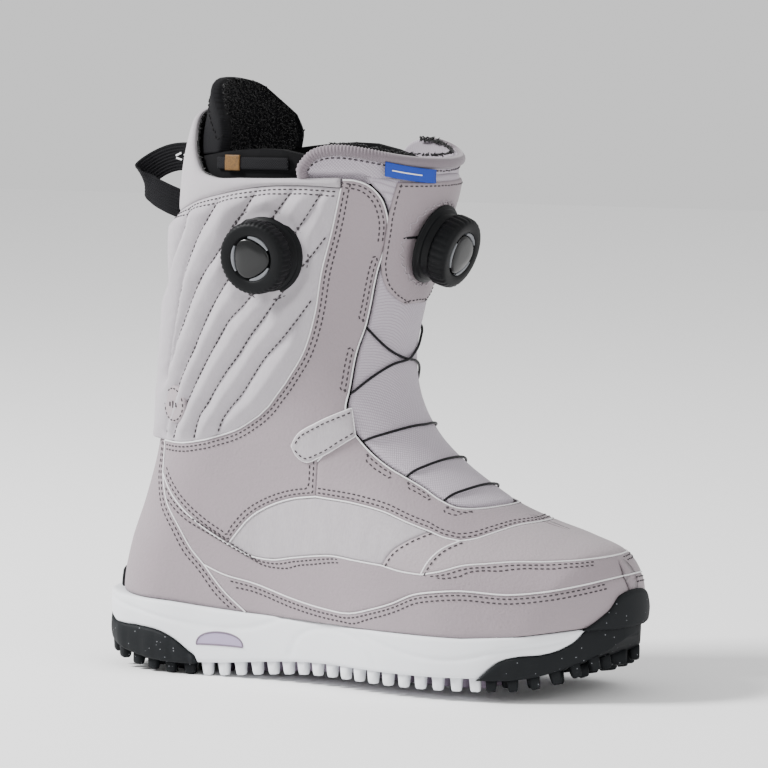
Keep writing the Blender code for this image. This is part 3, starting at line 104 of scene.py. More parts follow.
# ---------------------------------------------------------------- the side view, in millimetres
@dataclass(frozen=True)
class Drawing:
    """The boot's side view: outlines as (x, z, rounding radius), widths and seams as (x, z)."""

    length: float = 284.5
    height: float = 275.0
    sole: float = 34.0
    forefoot_width: float = 103.0
    instep: Points = ((141, 20, 36), (143.5, 38, 34), (141.5, 52, 32), (133, 64, 30), (114, 72.5, 34),
                      (94, 79, 38), (77, 86, 42), (62, 95, 44), (47, 105.5, 46), (33, 119, 50),
                      (24, 135, 54), (21, 153, 58), (25.5, 178, 62), (34.5, 210, 66), (43, 236, 68),
                      (45.5, 262, 70), (46, 300, 70))
    back: Points = ((-134, 14, 36), (-135.5, 36, 37), (-131, 58, 38), (-122, 82, 40), (-114, 110, 46),
                    (-110, 145, 54), (-106, 185, 62), (-100, 228, 66), (-95, 258, 68), (-91, 275, 68),
                    (-87, 300, 68))
    foot_width: Points = ((-142, 35), (-110, 37), (-70, 36.5), (-40, 37), (0, 43), (40, 50), (70, 51.5),
                          (100, 48), (120, 43), (145, 36))
    shaft_width: Points = ((60, 38), (100, 39), (130, 42), (180, 48), (230, 52), (270, 53), (300, 53))
    squareness: float = 2.15
    feather: Points = ((-136, 33.5), (-113, 32), (-92, 31), (-74, 29.5), (-49, 28), (-16, 27), (14, 26.5),
                       (50, 26), (79, 25.5), (106, 27), (125, 29.5), (143, 32))
    heel_low: Points = ((-49, 28), (-62, 38), (-73, 50))
    heel_mid: Points = ((-73, 50), (-80, 57), (-88, 69), (-96, 81), (-100, 94))
    heel_top: Points = ((-100, 94), (-100, 110))
    counter_top: Points = ((-114, 111), (-100, 110))
    lower_rand: Points = ((-73, 50), (-62, 46), (-46, 43), (-20, 37), (-1, 34), (17, 33), (30, 36),
                          (43, 40), (55, 45), (66, 47), (77, 48), (103, 47), (130, 51), (141, 54))
    rand_tail: Points = ((-100, 94), (-94, 86), (-85, 77), (-74, 69), (-59, 61))
    rand_window: Points = ((-59, 61), (-46, 56), (-33, 55), (-20, 57), (-6, 59), (4, 60), (21, 59),
                           (37, 58))
    rand_wedge: Points = ((37, 58), (47, 56), (59, 55))
    rand_toe: Points = ((59, 55), (69, 57), (79, 60), (89, 61), (101, 62), (114, 62), (126, 62.5),
                        (134, 63))
    window_top: Points = ((-59, 61), (-54, 67), (-46, 75), (-33, 82), (-20, 86), (-6, 88))
    throat_window: Points = ((-6, 88), (18, 86), (34, 83), (46, 79), (59, 75))
    throat_wedge: Points = ((59, 75), (66, 72.5), (74, 71))
    throat_toe: Points = ((74, 71), (80, 72), (87, 75), (93, 77.5), (97, 78))
    wedge_back: Points = ((37, 58), (42, 65), (49, 70), (59, 75))
    wedge_front: Points = ((59, 55), (62, 61), (67, 67), (74, 71))
    quarter_step: Points = ((-6, 88), (-6, 105))
    quarter_tab: Points = ((-6, 105), (9, 121))
    eyestay_low: Points = ((9, 121), (14, 115), (23, 107), (31, 102), (37, 99), (47, 94), (57, 88.5),
                           (66, 85), (73, 84.5), (79, 85))
    eyestay_high: Points = ((9, 121), (6, 131), (7, 139), (10, 159), (14, 171), (21, 198), (26, 213),
                            (28, 226), (26.8, 234), (23, 239.6), (17, 242.3), (12, 242.6))
    quilt_floor: Sequence[Points] = (((-100, 110), (-85, 110), (-70, 112.5)),
                                     ((-70, 112.5), (-50, 119), (-38, 126)),
                                     ((-38, 126), (-32, 131)), ((-32, 131), (-22, 143)))
    quilt_front: Points = ((-22, 143), (-13, 157), (-6, 176), (-1, 198), (5, 217), (11, 238.5))
    collar_seam: Points = ((-101, 222), (-88, 225), (-71, 230.5), (-51, 235), (-30, 238.5), (-7, 239.5),
                           (11, 238.5))
    collar_rim: Points = ((-91, 275), (-84, 265), (-79, 254), (-71, 245), (-61, 242.5), (-43, 242.5),
                          (-26, 242.7), (11, 243.5))
    tab_upper: Points = ((-20, 112), (-17, 117), (-7, 123.5), (8.5, 131))
    tab_lower: Points = ((-20, 112), (-17, 107), (-12, 104.5), (-5, 107), (11.5, 117.5))
    badge: tuple[float, float] = (-89, 129)
    side_dial: tuple[float, float] = (-29, 205.5)
    front_dial: tuple[float, float] = (34.7, 211)
    dial_patch: Points = ((25.4, 181), (22.5, 190), (22.5, 200), (25, 211), (28.5, 225), (31.5, 235),
                          (33.5, 241.5))
    tongue_top: Points = ((-9, 246.5), (-8, 251), (-4, 255.5), (3, 258.5), (12, 259), (22, 257.5),
                          (30, 255.5), (38, 253.5), (45, 252))
    channels: Sequence[Points] = (
        ((-79, 226), (-84, 213), (-92, 202), (-99, 188)),
        ((-56, 231), (-65, 220), (-76, 204), (-84, 187), (-91, 163), (-97, 142)),
        ((-32, 237), (-42, 224), (-60, 202), (-69, 192), (-75, 182), (-81, 172), (-88, 160), (-92, 151)),
        ((-12, 238), (-22, 226), (-53, 190), (-64, 175), (-70, 165), (-75, 157), (-81, 148), (-86, 140),
         (-95, 122), (-99, 112)),
        ((3, 238), (-6, 225), (-12, 217), (-43, 180), (-51, 173), (-57, 165), (-65, 154), (-72, 144),
         (-77, 136), (-89, 118), (-93, 110)),
        ((4, 217), (-3, 208), (-10, 200), (-27, 180), (-32, 174), (-40, 165), (-47, 156), (-55, 147),
         (-62, 138), (-67, 131), (-72, 125), (-75, 119), (-78, 111)),
        ((-5, 186), (-16, 172), (-23, 164), (-32, 155), (-40, 145), (-47, 136), (-54, 129), (-59, 123),
         (-63, 115)))
    sole_plan: Points = ((-142, 6), (-139, 16), (-130, 29), (-110, 38), (-70, 38.5), (-30, 38), (0, 41.5),
                         (40, 51), (70, 53), (100, 49), (125, 34), (138, 17), (143, 6))
    heel_rubber: Points = ((-142, 28), (-138, 22.5), (-133, 19), (-122, 17.5), (-110, 17.2),
                           (-97, 15.5), (-88, 11.5), (-81, 6.5), (-77, 4))
    toe_rubber: Points = ((88, 5.5), (91, 8.5), (97, 14), (106, 17), (116, 18), (123, 20.5), (128, 24.5),
                          (132.5, 31), (143, 36))
    ground: Points = ((-142, 8), (-134, 3), (-124, 0), (0, 0), (90, 0), (103, 0.3), (113, 1.8), (127, 7),
                      (138, 13.5), (143, 19))


def spline(points: Array, fractions: Iterable[float], axes: int = 2) -> Array:
    """A smooth curve through the points.

    Args:
        points: The points, one a row.
        fractions: Shares of the curve's length at which it is read.
        axes: How many of the first columns count as position.

    Returns:
        One row for each fraction.
    """
    at = np.clip(np.asarray(list(fractions), float), 0, 1)
    if len(points) == 2:
        return points[0] + (points[1] - points[0]) * at[:, None]
    reach = np.r_[0, np.cumsum(np.linalg.norm(np.diff(points[:, :axes], axis=0), axis=1))]
    slope = np.gradient(points, reach, axis=0)
    at = at * reach[-1]
    k = np.clip(np.searchsorted(reach, at, side="right") - 1, 0, len(points) - 2)
    step = (reach[k + 1] - reach[k])[:, None]
    s = (at - reach[k])[:, None] / step
    ahead = (2 * s**3 - 3 * s**2 + 1) * points[k] + (s**3 - 2 * s**2 + s) * step * slope[k]
    return ahead + (3 * s**2 - 2 * s**3) * points[k + 1] + (s**3 - s**2) * step * slope[k + 1]


def value_at(table: Points, at: Array) -> Array:
    """A smooth value through a table of (position, value) pairs."""
    xs, ys = np.array(table, float).T
    slope = np.gradient(ys, xs)
    at = np.clip(at, xs[0], xs[-1])
    k = np.clip(np.searchsorted(xs, at, side="right") - 1, 0, len(xs) - 2)
    h = xs[k + 1] - xs[k]
    s = (at - xs[k]) / h
    ahead = (2 * s**3 - 3 * s**2 + 1) * ys[k] + (s**3 - 2 * s**2 + s) * h * slope[k]
    return ahead + (3 * s**2 - 2 * s**3) * ys[k + 1] + (s**3 - s**2) * h * slope[k + 1]


def ramp(low: float, high: float, at: Array) -> Array:
    """Zero below low, one above high, smooth between."""
    t = np.clip((np.asarray(at, float) - low) / (high - low), 0, 1)
    return t * t * (3 - 2 * t)


def lengths_along(line: Array) -> Array:
    """Distance along a line of points, from its start."""
    return np.r_[0, np.cumsum(np.linalg.norm(np.diff(line, axis=0), axis=1))]


def resample(line: Array, step: float) -> Array:
    """A line of points read again at an even step."""
    reach = lengths_along(line)
    at = np.linspace(0, reach[-1], max(2, int(round(reach[-1] / step)) + 1))
    return np.stack([np.interp(at, reach, line[:, i]) for i in range(line.shape[1])], 1)


def trim(line: Array, start: float, end: float) -> Array:
    """The line without its first and last stretch."""
    reach = lengths_along(line)
    at = np.linspace(start, max(reach[-1] - end, start + 0.001), len(line))
    return np.stack([np.interp(at, reach, line[:, i]) for i in range(line.shape[1])], 1)


def chain(*lines: Array) -> Array:
    """Lines joined end to end."""
    return np.vstack([lines[0]] + [line[1:] for line in lines[1:]])


def fill(bottom: Array, top: Array, left: Array, right: Array) -> Array:
    """A grid of side-view points between four lines that meet at their ends."""
    s = np.linspace(0, 1, len(left))[:, None, None]
    steps = np.linalg.norm(np.diff(bottom, axis=0), axis=1)
    t = (np.r_[0, np.cumsum(steps)] / max(steps.sum(), 1e-9))[None, :, None]
    rows = (1 - s) * bottom[None] + s * top[None]
    columns = (1 - t) * left[:, None] + t * right[:, None]
    corners = (1 - s) * ((1 - t) * bottom[0] + t * bottom[-1]) + s * ((1 - t) * top[0] + t * top[-1])
    return rows + columns - corners


class Outline:
    """One side of the side view's outline, as a fine line with inward directions."""

    def __init__(self, line: Array, inward: int) -> None:
        """Reads the line of (x, z, radius) finely; inward is 1 or -1 by its sense."""
        self.line = spline(line, np.linspace(0, 1, 170))
        tangent = np.gradient(self.line[:, :2], axis=0)
        tangent /= np.linalg.norm(tangent, axis=1)[:, None]
        self.inward = np.stack([-tangent[:, 1], tangent[:, 0]], 1) * inward
        self.reach = lengths_along(self.line[:, :2])

    def nearest(self, points: Array) -> tuple[Array, Array, Array, Array]:
        """For each point: distance over rounding radius, the radius, inward direction, reach."""
        start, end = self.line[:-1], self.line[1:]
        along = end[:, :2] - start[:, :2]
        found = []
        for some in np.array_split(points, max(1, len(points) // 8000)):
            t = ((some[:, None] - start[:, :2]) * along).sum(-1) / (along**2).sum(-1)
            t = np.clip(t, 0, 1)
            foot = start[:, :2] + t[..., None] * along
            distance = np.linalg.norm(some[:, None] - foot, axis=-1)
            radius = start[:, 2] + t * (end[:, 2] - start[:, 2])
            k = (distance / radius).argmin(1)
            rows = np.arange(len(some))
            t = t[rows, k]
            inward = self.inward[k] + t[:, None] * (self.inward[k + 1] - self.inward[k])
            inward /= np.linalg.norm(inward, axis=1)[:, None]
            reach = self.reach[k] + t * (self.reach[k + 1] - self.reach[k])
            found.append((distance[rows, k] / radius[rows, k], radius[rows, k], inward, reach))
        return tuple(np.concatenate(column) for column in zip(*found))

    def at_reach(self, reach: Array) -> Array:
        """Points on the outline at distances along it."""
        return np.stack([np.interp(reach, self.reach, self.line[:, i]) for i in (0, 1)], -1)

    def between(self, start: Array, end: Array, segments: int) -> Array:
        """The stretch of the outline between the points nearest to two placed points."""
        ends = self.nearest(np.array([start, end]))[3]
        return self.at_reach(np.linspace(ends[0], ends[1], segments + 1))

    def snap(self, point: Array) -> Array:
        """The outline's point nearest to a placed point."""
        return self.between(point, point, 1)[0]


class BootForm:
    """The smooth form of the boot's upper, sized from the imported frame."""

    def __init__(self, drawing: Drawing) -> None:
        """Scales the drawing to the frame's midsole length and shaft height."""
        self.drawing = drawing
        low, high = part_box("midsole")
        self.scale_x = (high.x - low.x) / (285.0 * MM)
        self.scale_z = (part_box("collar_band")[1].z / MM - drawing.sole) / (drawing.height - drawing.sole)
        self.front = Outline(self.place(drawing.instep), 1)
        self.back = Outline(self.place(drawing.back), -1)

    def place(self, points: Points) -> Array:
        """Drawn points in millimetres, carried to the frame's size, in metres."""
        drawn = np.array(points, float)
        out = drawn * MM
        out[..., 0] = drawn[..., 0] * MM * self.scale_x
        above = np.maximum(drawn[..., 1] - self.drawing.sole, 0)
        out[..., 1] = (np.minimum(drawn[..., 1], self.drawing.sole) + above * self.scale_z) * MM
        return out

    def front_at(self, x: float, z: float) -> Array:
        """The front outline's place nearest a drawn point."""
        return self.front.snap(self.place([(x, z)])[0])

    def back_at(self, x: float, z: float) -> Array:
        """The back outline's place nearest a drawn point."""
        return self.back.snap(self.place([(x, z)])[0])

    def curve(self, points: Points, segments: int, ease: float = 1.0, end: bool = False) -> Array:
        """Drawn points as a smooth placed line, its points crowded by ease at one end."""
        t = np.linspace(0, 1, segments + 1)
        t = 1 - (1 - t) ** ease if end else t**ease
        return spline(self.place(points), t)

    def half_width(self, x: Array, z: Array) -> Array:
        """Half of the boot's width at a side-view point, before its edges are rounded."""
        plan = self.drawing
        foot = value_at(plan.foot_width, x / MM / self.scale_x) * plan.forefoot_width / 103 * MM
        shaft = value_at(plan.shaft_width, z / MM) * MM
        return foot + (shaft - foot) * ramp(60, 125, z / MM)

    def middle(self, x: Array, z: Array) -> Array:
        """The boot's middle line, which bends inwards at the toe as a right foot does."""
        u = x / MM / self.scale_x
        bend = 7 * ramp(60, 140, u) - 2 * np.sin(np.clip((u + 40) / 130, 0, 1) * math.pi)
        return bend * (1 - ramp(60, 120, z / MM)) * MM

    def skin(self, points: Array, side: Array, ridge: Array | None = None) -> tuple[Array, Array]:
        """Side-view points carried to the form's surface.

        Args:
            points: Placed (x, z) points, in any grid.
            side: The sign of y for each point, or one sign.
            ridge: Which points lie on the outline itself.

        Returns:
            Points in space and outward normals, in the same grid.
        """
        shape = np.shape(points)[:-1]
        p = np.asarray(points, float).reshape(-1, 2)
        side = np.broadcast_to(side, shape).reshape(-1)
        ratio_f, radius_f, inward_f, _ = self.front.nearest(p)
        ratio_b, radius_b, inward_b, _ = self.back.nearest(p)
        is_front = ratio_f < ratio_b
        ratio = np.where(is_front, ratio_f, ratio_b)
        radius = np.where(is_front, radius_f, radius_b)
        inward = np.where(is_front[:, None], inward_f, inward_b)
        if ridge is not None:
            ratio = np.where(np.broadcast_to(ridge, shape).reshape(-1), 0.0, ratio)
        x, z = p.T
        power = self.drawing.squareness
        rest = 1 - np.clip(ratio, 0, 1)
        wide = self.half_width(x, z)
        share = (1 - rest**power) ** (1 / power)
        step = 0.0005
        push = power * share ** (power - 1)
        grow_x = (self.half_width(x + step, z) - self.half_width(x - step, z)) / (2 * step)
        grow_z = (self.half_width(x, z + step) - self.half_width(x, z - step)) / (2 * step)
        lean_x = (self.middle(x + step, z) - self.middle(x - step, z)) / (2 * step)
        lean_z = (self.middle(x, z + step) - self.middle(x, z - step)) / (2 * step)
        roll = power * rest ** (power - 1) / radius
        normal = np.stack([-push * (share * grow_x + side * lean_x) / wide - roll * inward[:, 0],
                           side * push / wide,
                           -push * (share * grow_z + side * lean_z) / wide - roll * inward[:, 1]], 1)
        normal /= np.linalg.norm(normal, axis=1)[:, None]
        spot = np.stack([x, self.middle(x, z) + side * wide * share, z], 1)
        return spot.reshape(*shape, 3), normal.reshape(*shape, 3)

    def at_depth(self, points: Array, side: float, depth: Array, ridge: Array | None = None) -> Array:
        """Side-view points at a depth under the surface, on one side."""
        spot, normal = self.skin(points, side, ridge)
        return spot - normal * np.asarray(depth)[..., None] if np.ndim(depth) else spot - normal * depth


# ---------------------------------------------------------------- meshes
def mesh_object(name: str, points: Array, faces: Iterable[Sequence[int]], smooth: bool = True):
    """A mesh object from points and faces, linked to the scene."""
    mesh = bpy.data.meshes.new(name)
    mesh.from_pydata(np.asarray(points).tolist(), [], [tuple(int(i) for i in f) for f in faces])
    if smooth:
        mesh.shade_smooth()
    mesh.update()
    thing = bpy.data.objects.new(name, mesh)
    bpy.context.scene.collection.objects.link(thing)
    return thing


def grid_faces(rows: int, columns: int, start: int = 0, flip: bool = False) -> Array:
    """The quads of a grid of points stored row by row."""
    r, c = np.meshgrid(np.arange(rows - 1), np.arange(columns - 1), indexing="ij")
    a = (r * columns + c).reshape(-1) + start
    quads = np.stack([a, a + 1, a + columns + 1, a + columns], 1)
    return quads[:, ::-1] if flip else quads


def sheet_mesh(name: str, outer: Array, inner: Array) -> bpy.types.Object:
    """A closed sheet between an outer and an inner grid, with a UV map in metres along it."""
    rows, columns = outer.shape[:2]
    count = rows * columns
    border = np.r_[np.arange(columns), columns - 1 + columns * np.arange(1, rows),
                   count - 2 - np.arange(columns - 1), columns * np.arange(rows - 2, 0, -1)]
    ahead = np.roll(border, -1)
    rim = np.stack([ahead, border, border + count, ahead + count], 1)
    faces = np.vstack([grid_faces(rows, columns), grid_faces(rows, columns, count, True), rim])
    thing = mesh_object(name, np.vstack([outer.reshape(-1, 3), inner.reshape(-1, 3)]), faces)
    across = np.linalg.norm(np.diff(outer, axis=1), axis=2)
    along = np.linalg.norm(np.diff(outer, axis=0), axis=2)
    u = np.concatenate([np.zeros((rows, 1)), np.cumsum(across, 1)], 1)
    u -= u[:, -1:] / 2
    v = np.concatenate([np.zeros((1, columns)), np.cumsum(along, 0)], 0)
    uv = np.stack([u.reshape(-1), v.reshape(-1)], 1)
    layer = thing.data.uv_layers.new(name="cloth")
    index = np.empty(len(thing.data.loops), np.int32)
    thing.data.loops.foreach_get("vertex_index", index)
    layer.data.foreach_set("uv", uv[index % count].astype(np.float32).reshape(-1))
    clean = thing.data
    clean.validate()
    return thing


def nearest_distance(points: Array, lines: Sequence[Array], step: float = 0.0005) -> Array:
    """Distance from each point to the nearest of some lines."""
    samples = np.vstack([resample(line, step) for line in lines])
    tree = kdtree.KDTree(len(samples))
    for i, spot in enumerate(samples):
        tree.insert(spot, i)
    tree.balance()
    flat = np.asarray(points).reshape(-1, 3)
    return np.array([tree.find(spot)[2] for spot in flat]).reshape(np.shape(points)[:-1])


@dataclass
class Panel:
    """A panel of the upper as a fine grid, which runs round the outline where it crosses it."""

    form: BootForm
    name: str
    grid: Array
    side: Array
    ridge: Array
    depth: float = 0.0
    outer: Array = field(init=False)
    normal: Array = field(init=False)

    def __post_init__(self) -> None:
        """Lays the grid on the form at its depth."""
        spot, self.normal = self.form.skin(self.grid, self.side, self.ridge)
        self.outer = spot - self.normal * self.depth

    def edge(self, which: Edge) -> Array:
        """The line of one of its edges."""
        return {Edge.BOTTOM: self.outer[0], Edge.TOP: self.outer[-1], Edge.LEFT: self.outer[:, 0],
                Edge.RIGHT: self.outer[:, -1]}[which]

    def roll_edges(self, width: float, drop: float, skip: Sequence[Edge] = ()) -> None:
        """Rounds the panel down at its edges.

        Args:
            width: How far in from the edge the rounding starts.
            drop: How deep the edge itself lies.
            skip: Edges that stay as they are.
        """
        lines = [self.edge(e) for e in Edge if e not in skip]
        t = np.clip(nearest_distance(self.outer, lines) / width, 0, 1)
        self.outer = self.outer - self.normal * (drop * (1 - np.sqrt(1 - (1 - t) ** 2)))[..., None]

    def raise_by(self, height: Array) -> None:
        """Moves the surface out along its normals."""
        self.outer = self.outer + self.normal * height[..., None]

    def inset(self, gap: float) -> None:
        """Draws each edge in, so that neighbours don't touch."""
        for view in (self.outer, self.outer[::-1], self.outer.swapaxes(0, 1),
                     self.outer[:, ::-1].swapaxes(0, 1)):
            inward = view[1] - view[0]
            length = np.maximum(np.linalg.norm(inward, axis=1, keepdims=True), 1e-9)
            view[0] += inward / length * np.minimum(gap, 0.4 * length)

    def row(self, which: Edge, distance: float, sink: float = 0.0) -> Array:
        """A line on the panel at a distance in from one edge."""
        view = {Edge.BOTTOM: self.outer, Edge.TOP: self.outer[::-1],
                Edge.LEFT: self.outer.swapaxes(0, 1),
                Edge.RIGHT: self.outer[:, ::-1].swapaxes(0, 1)}[which]
        normal = {Edge.BOTTOM: self.normal, Edge.TOP: self.normal[::-1],
                  Edge.LEFT: self.normal.swapaxes(0, 1),
                  Edge.RIGHT: self.normal[:, ::-1].swapaxes(0, 1)}[which]
        tangent = np.gradient(view[0], axis=0)
        tangent /= np.maximum(np.linalg.norm(tangent, axis=1, keepdims=True), 1e-9)
        inward = view[min(2, len(view) - 1)] - view[0]
        inward /= np.maximum(np.linalg.norm(inward, axis=1, keepdims=True), 1e-9)
        lean = np.sqrt(np.clip(1 - (tangent * inward).sum(1) ** 2, 0.12, 1))
        arc = np.concatenate([np.zeros((1, view.shape[1])),
                              np.cumsum(np.linalg.norm(np.diff(view, axis=0), axis=2), 0)])
        line = []
        for c in range(view.shape[1]):
            at = distance / lean[c]
            if at > arc[-1, c]:
                continue
            line.append([np.interp(at, arc[:, c], view[:, c, i] - normal[:, c, i] * sink)
                         for i in range(3)])
        found = np.array(line)
        if len(found) < 3:
            return found
        away = nearest_distance(found, [view[0]])
        return found[np.abs(away - distance) < 0.3 * distance + 0.2 * MM]

    def build(self, thickness: float) -> bpy.types.Object:
        """The panel's closed mesh."""
        return sheet_mesh(self.name, self.outer, self.outer - self.normal * thickness)


# ---------------------------------------------------------------- finishes
class Surface(Enum):
    """How a finish breaks up light at close range."""

    GRAIN = "grain"
    BRUSHED = "brushed"
    WEAVE = "weave"
    FLEECE = "fleece"
    SPECKLE = "speckle"
    SMOOTH = "smooth"


def linear(red: int, green: int, blue: int) -> tuple[float, float, float, float]:
    """An sRGB colour of 0 to 255 as a linear one."""
    return tuple((c / 255 / 12.92) if c < 11 else ((c / 255 + 0.055) / 1.055) ** 2.4
                 for c in (red, green, blue)) + (1.0,)


class Net:
    """Lays nodes in a node tree."""

    def __init__(self, tree: bpy.types.NodeTree) -> None:
        """Starts on an empty tree."""
        self.tree = tree
        tree.nodes.clear()

    def add(self, kind: str, settings: dict | None = None, **inputs) -> bpy.types.Node:
        """A node with its settings, and its inputs set to values or linked to outputs."""
        node = self.tree.nodes.new(kind)
        for key, value in (settings or {}).items():
            setattr(node, key, value)
        for key, value in inputs.items():
            socket = node.inputs[int(key[1:]) if key[1:].isdigit() else key.replace("_", " ")]
            if isinstance(value, bpy.types.NodeSocket):
                self.tree.links.new(value, socket)
            else:
                socket.default_value = value
        return node

    def math(self, operation: str, a, b=0.0, clamp: bool = False) -> bpy.types.NodeSocket:
        """The output of a math node."""
        settings = {"operation": operation, "use_clamp": clamp}
        return self.add("ShaderNodeMath", settings, _0=a, _1=b).outputs[0]


def shader_group(name: str, inputs: Sequence[tuple[str, str]], outputs: Sequence[tuple[str, str]]):
    """An empty shader node group with its sockets.

    Args:
        name: The group's name.
        inputs: Name and socket type of each input.
        outputs: Name and socket type of each output.

    Returns:
        The tree, a Net on it, and its group input and output nodes.
    """
    tree = bpy.data.node_groups.new(name, "ShaderNodeTree")
    for direction, sockets in (("INPUT", inputs), ("OUTPUT", outputs)):
        for label, kind in sockets:
            tree.interface.new_socket(label, in_out=direction, socket_type=kind)
    net = Net(tree)
    return tree, net, net.add("NodeGroupInput"), net.add("NodeGroupOutput")


FLOAT, VECTOR = "NodeSocketFloat", "NodeSocketVector"
RELIEF_SOCKETS = ((("Vector", VECTOR), ("Scale", FLOAT), ("Strength", FLOAT), ("Distance", FLOAT)),
                  (("Mask", FLOAT), ("Normal", VECTOR)))


def close_relief(net: Net, source: bpy.types.Node, out: bpy.types.Node, height, mask) -> None:
    """Ends a relief group: height to a bump normal, and a mask."""
    bump = net.add("ShaderNodeBump", None, Strength=source.outputs["Strength"],
                   Distance=source.outputs["Distance"], Height=height)
    net.tree.links.new(mask, out.inputs["Mask"])
    net.tree.links.new(bump.outputs["Normal"], out.inputs["Normal"])


def grain_group() -> bpy.types.NodeTree:
    """Fine leather grain: small rounded cells over soft mottling."""
    tree, net, source, out = shader_group("grain", *RELIEF_SOCKETS)
    vector, scale = source.outputs["Vector"], source.outputs["Scale"]
    cells = net.add("ShaderNodeTexVoronoi", {"feature": "SMOOTH_F1"}, Vector=vector, Scale=scale)
    fine = net.add("ShaderNodeTexNoise", None, Vector=vector, Scale=net.math("MULTIPLY", scale, 2.3),
                   Detail=3.0)
    soft = net.add("ShaderNodeTexNoise", None, Vector=vector, Scale=net.math("MULTIPLY", scale, 0.02),
                   Detail=4.0)
    height = net.math("ADD", cells.outputs["Distance"], net.math("MULTIPLY", fine.outputs[0], 0.6))
    close_relief(net, source, out, height, soft.outputs[0])
    return tree


def brushed_group() -> bpy.types.NodeTree:
    """Brushed cloth: fine short fibres lying one way."""
    tree, net, source, out = shader_group("brushed", *RELIEF_SOCKETS)
    vector, scale = source.outputs["Vector"], source.outputs["Scale"]
    lay = net.add("ShaderNodeMapping", None, Vector=vector, Scale=(1.0, 1.0, 0.22),
                  Rotation=(0.0, 0.7, 0.0))
    fibre = net.add("ShaderNodeTexNoise", None, Vector=lay.outputs[0], Scale=scale, Detail=5.0,
                    Roughness=0.7)
    patch = net.add("ShaderNodeTexNoise", None, Vector=lay.outputs[0],
                    Scale=net.math("MULTIPLY", scale, 0.12), Detail=3.0)
    mask = net.math("ADD", net.math("MULTIPLY", fibre.outputs[0], 0.7),
                    net.math("MULTIPLY", patch.outputs[0], 0.3))
    close_relief(net, source, out, fibre.outputs[0], mask)
    return tree


def weave_group() -> bpy.types.NodeTree:
    """Diagonal woven cells, from crossed waves along the cloth's own map."""
    tree, net, source, out = shader_group("weave", *RELIEF_SOCKETS)
    split = net.add("ShaderNodeSeparateXYZ", None, Vector=source.outputs["Vector"])
    scale = source.outputs["Scale"]
    waves = []
    for sign in ("ADD", "SUBTRACT"):
        run = net.math(sign, split.outputs["X"], split.outputs["Y"])
        wave = net.math("SINE", net.math("MULTIPLY", run, net.math("MULTIPLY", scale, math.pi)))
        waves.append(net.math("ABSOLUTE", wave))
    height = net.math("MINIMUM", waves[0], waves[1])
    close_relief(net, source, out, height, net.math("MULTIPLY", height, 1.3, True))
    return tree


def fleece_group() -> bpy.types.NodeTree:
    """Curly pile: two layers of distorted noise."""
    tree, net, source, out = shader_group("fleece", *RELIEF_SOCKETS)
    vector, scale = source.outputs["Vector"], source.outputs["Scale"]
    curl = net.add("ShaderNodeTexNoise", None, Vector=vector, Scale=scale, Detail=4.0, Distortion=1.5)
    close_relief(net, source, out, curl.outputs[0], curl.outputs[0])
    return tree


def speckle_group() -> bpy.types.NodeTree:
    """Small pale flecks scattered in rubber, over a faint grain."""
    tree, net, source, out = shader_group("speckle", *RELIEF_SOCKETS)
    vector, scale = source.outputs["Vector"], source.outputs["Scale"]
    cells = net.add("ShaderNodeTexVoronoi", None, Vector=vector, Scale=scale)
    fleck = net.math("LESS_THAN", cells.outputs["Distance"], 0.13)
    tone = net.add("ShaderNodeSeparateColor", None, Color=cells.outputs["Color"])
    some = net.math("GREATER_THAN", tone.outputs[0], 0.72)
    fine = net.add("ShaderNodeTexNoise", None, Vector=vector, Scale=net.math("MULTIPLY", scale, 3.0),
                   Detail=3.0)
    close_relief(net, source, out, fine.outputs[0], net.math("MULTIPLY", fleck, some))
    return tree


GROUPS = {Surface.GRAIN: grain_group(), Surface.BRUSHED: brushed_group(),
          Surface.WEAVE: weave_group(), Surface.FLEECE: fleece_group(),
          Surface.SPECKLE: speckle_group()}


@dataclass(frozen=True)
class Finish:
    """A finish: its colour, the colour its mask turns to, and its relief."""

    name: str
    colour: tuple[int, int, int]
    second: tuple[int, int, int]
    surface: Surface
    roughness: float = 0.6
    scale: float = 900.0
    strength: float = 0.4
    depth: float = 0.0003
    metallic: float = 0.0
    sheen: float = 0.0
    mapped: bool = False
    shine: float = 0.35

    def material(self) -> bpy.types.Material:
        """The finish's material, made once."""
        known = bpy.data.materials.get(f"finish_{self.name}")
        if known:
            return known
        made = bpy.data.materials.new(f"finish_{self.name}")
        made.use_nodes = True
        net = Net(made.node_tree)
        out = net.add("ShaderNodeOutputMaterial")
        coordinate = net.add("ShaderNodeTexCoord")
        vector = coordinate.outputs["UV" if self.mapped else "Object"]
        surface = net.add("ShaderNodeBsdfPrincipled", None, Base_Color=linear(*self.colour),
                          Roughness=self.roughness, Metallic=self.metallic,
                          Sheen_Weight=self.sheen, Specular_IOR_Level=self.shine)
        if self.surface is not Surface.SMOOTH:
            relief = net.add("ShaderNodeGroup", {"node_tree": GROUPS[self.surface]})
            for label, value in (("Scale", self.scale), ("Strength", self.strength),
                                 ("Distance", self.depth)):
                relief.inputs[label].default_value = value
            net.tree.links.new(vector, relief.inputs["Vector"])
            net.tree.links.new(relief.outputs["Normal"], surface.inputs["Normal"])
            mix = net.add("ShaderNodeMix", {"data_type": "RGBA"})
            mix.inputs["A"].default_value = linear(*self.colour)
            mix.inputs["B"].default_value = linear(*self.second)
            net.tree.links.new(relief.outputs["Mask"], mix.inputs["Factor"])
            net.tree.links.new(mix.outputs["Result"], surface.inputs["Base Color"])
        net.tree.links.new(surface.outputs[0], out.inputs[0])
        return made


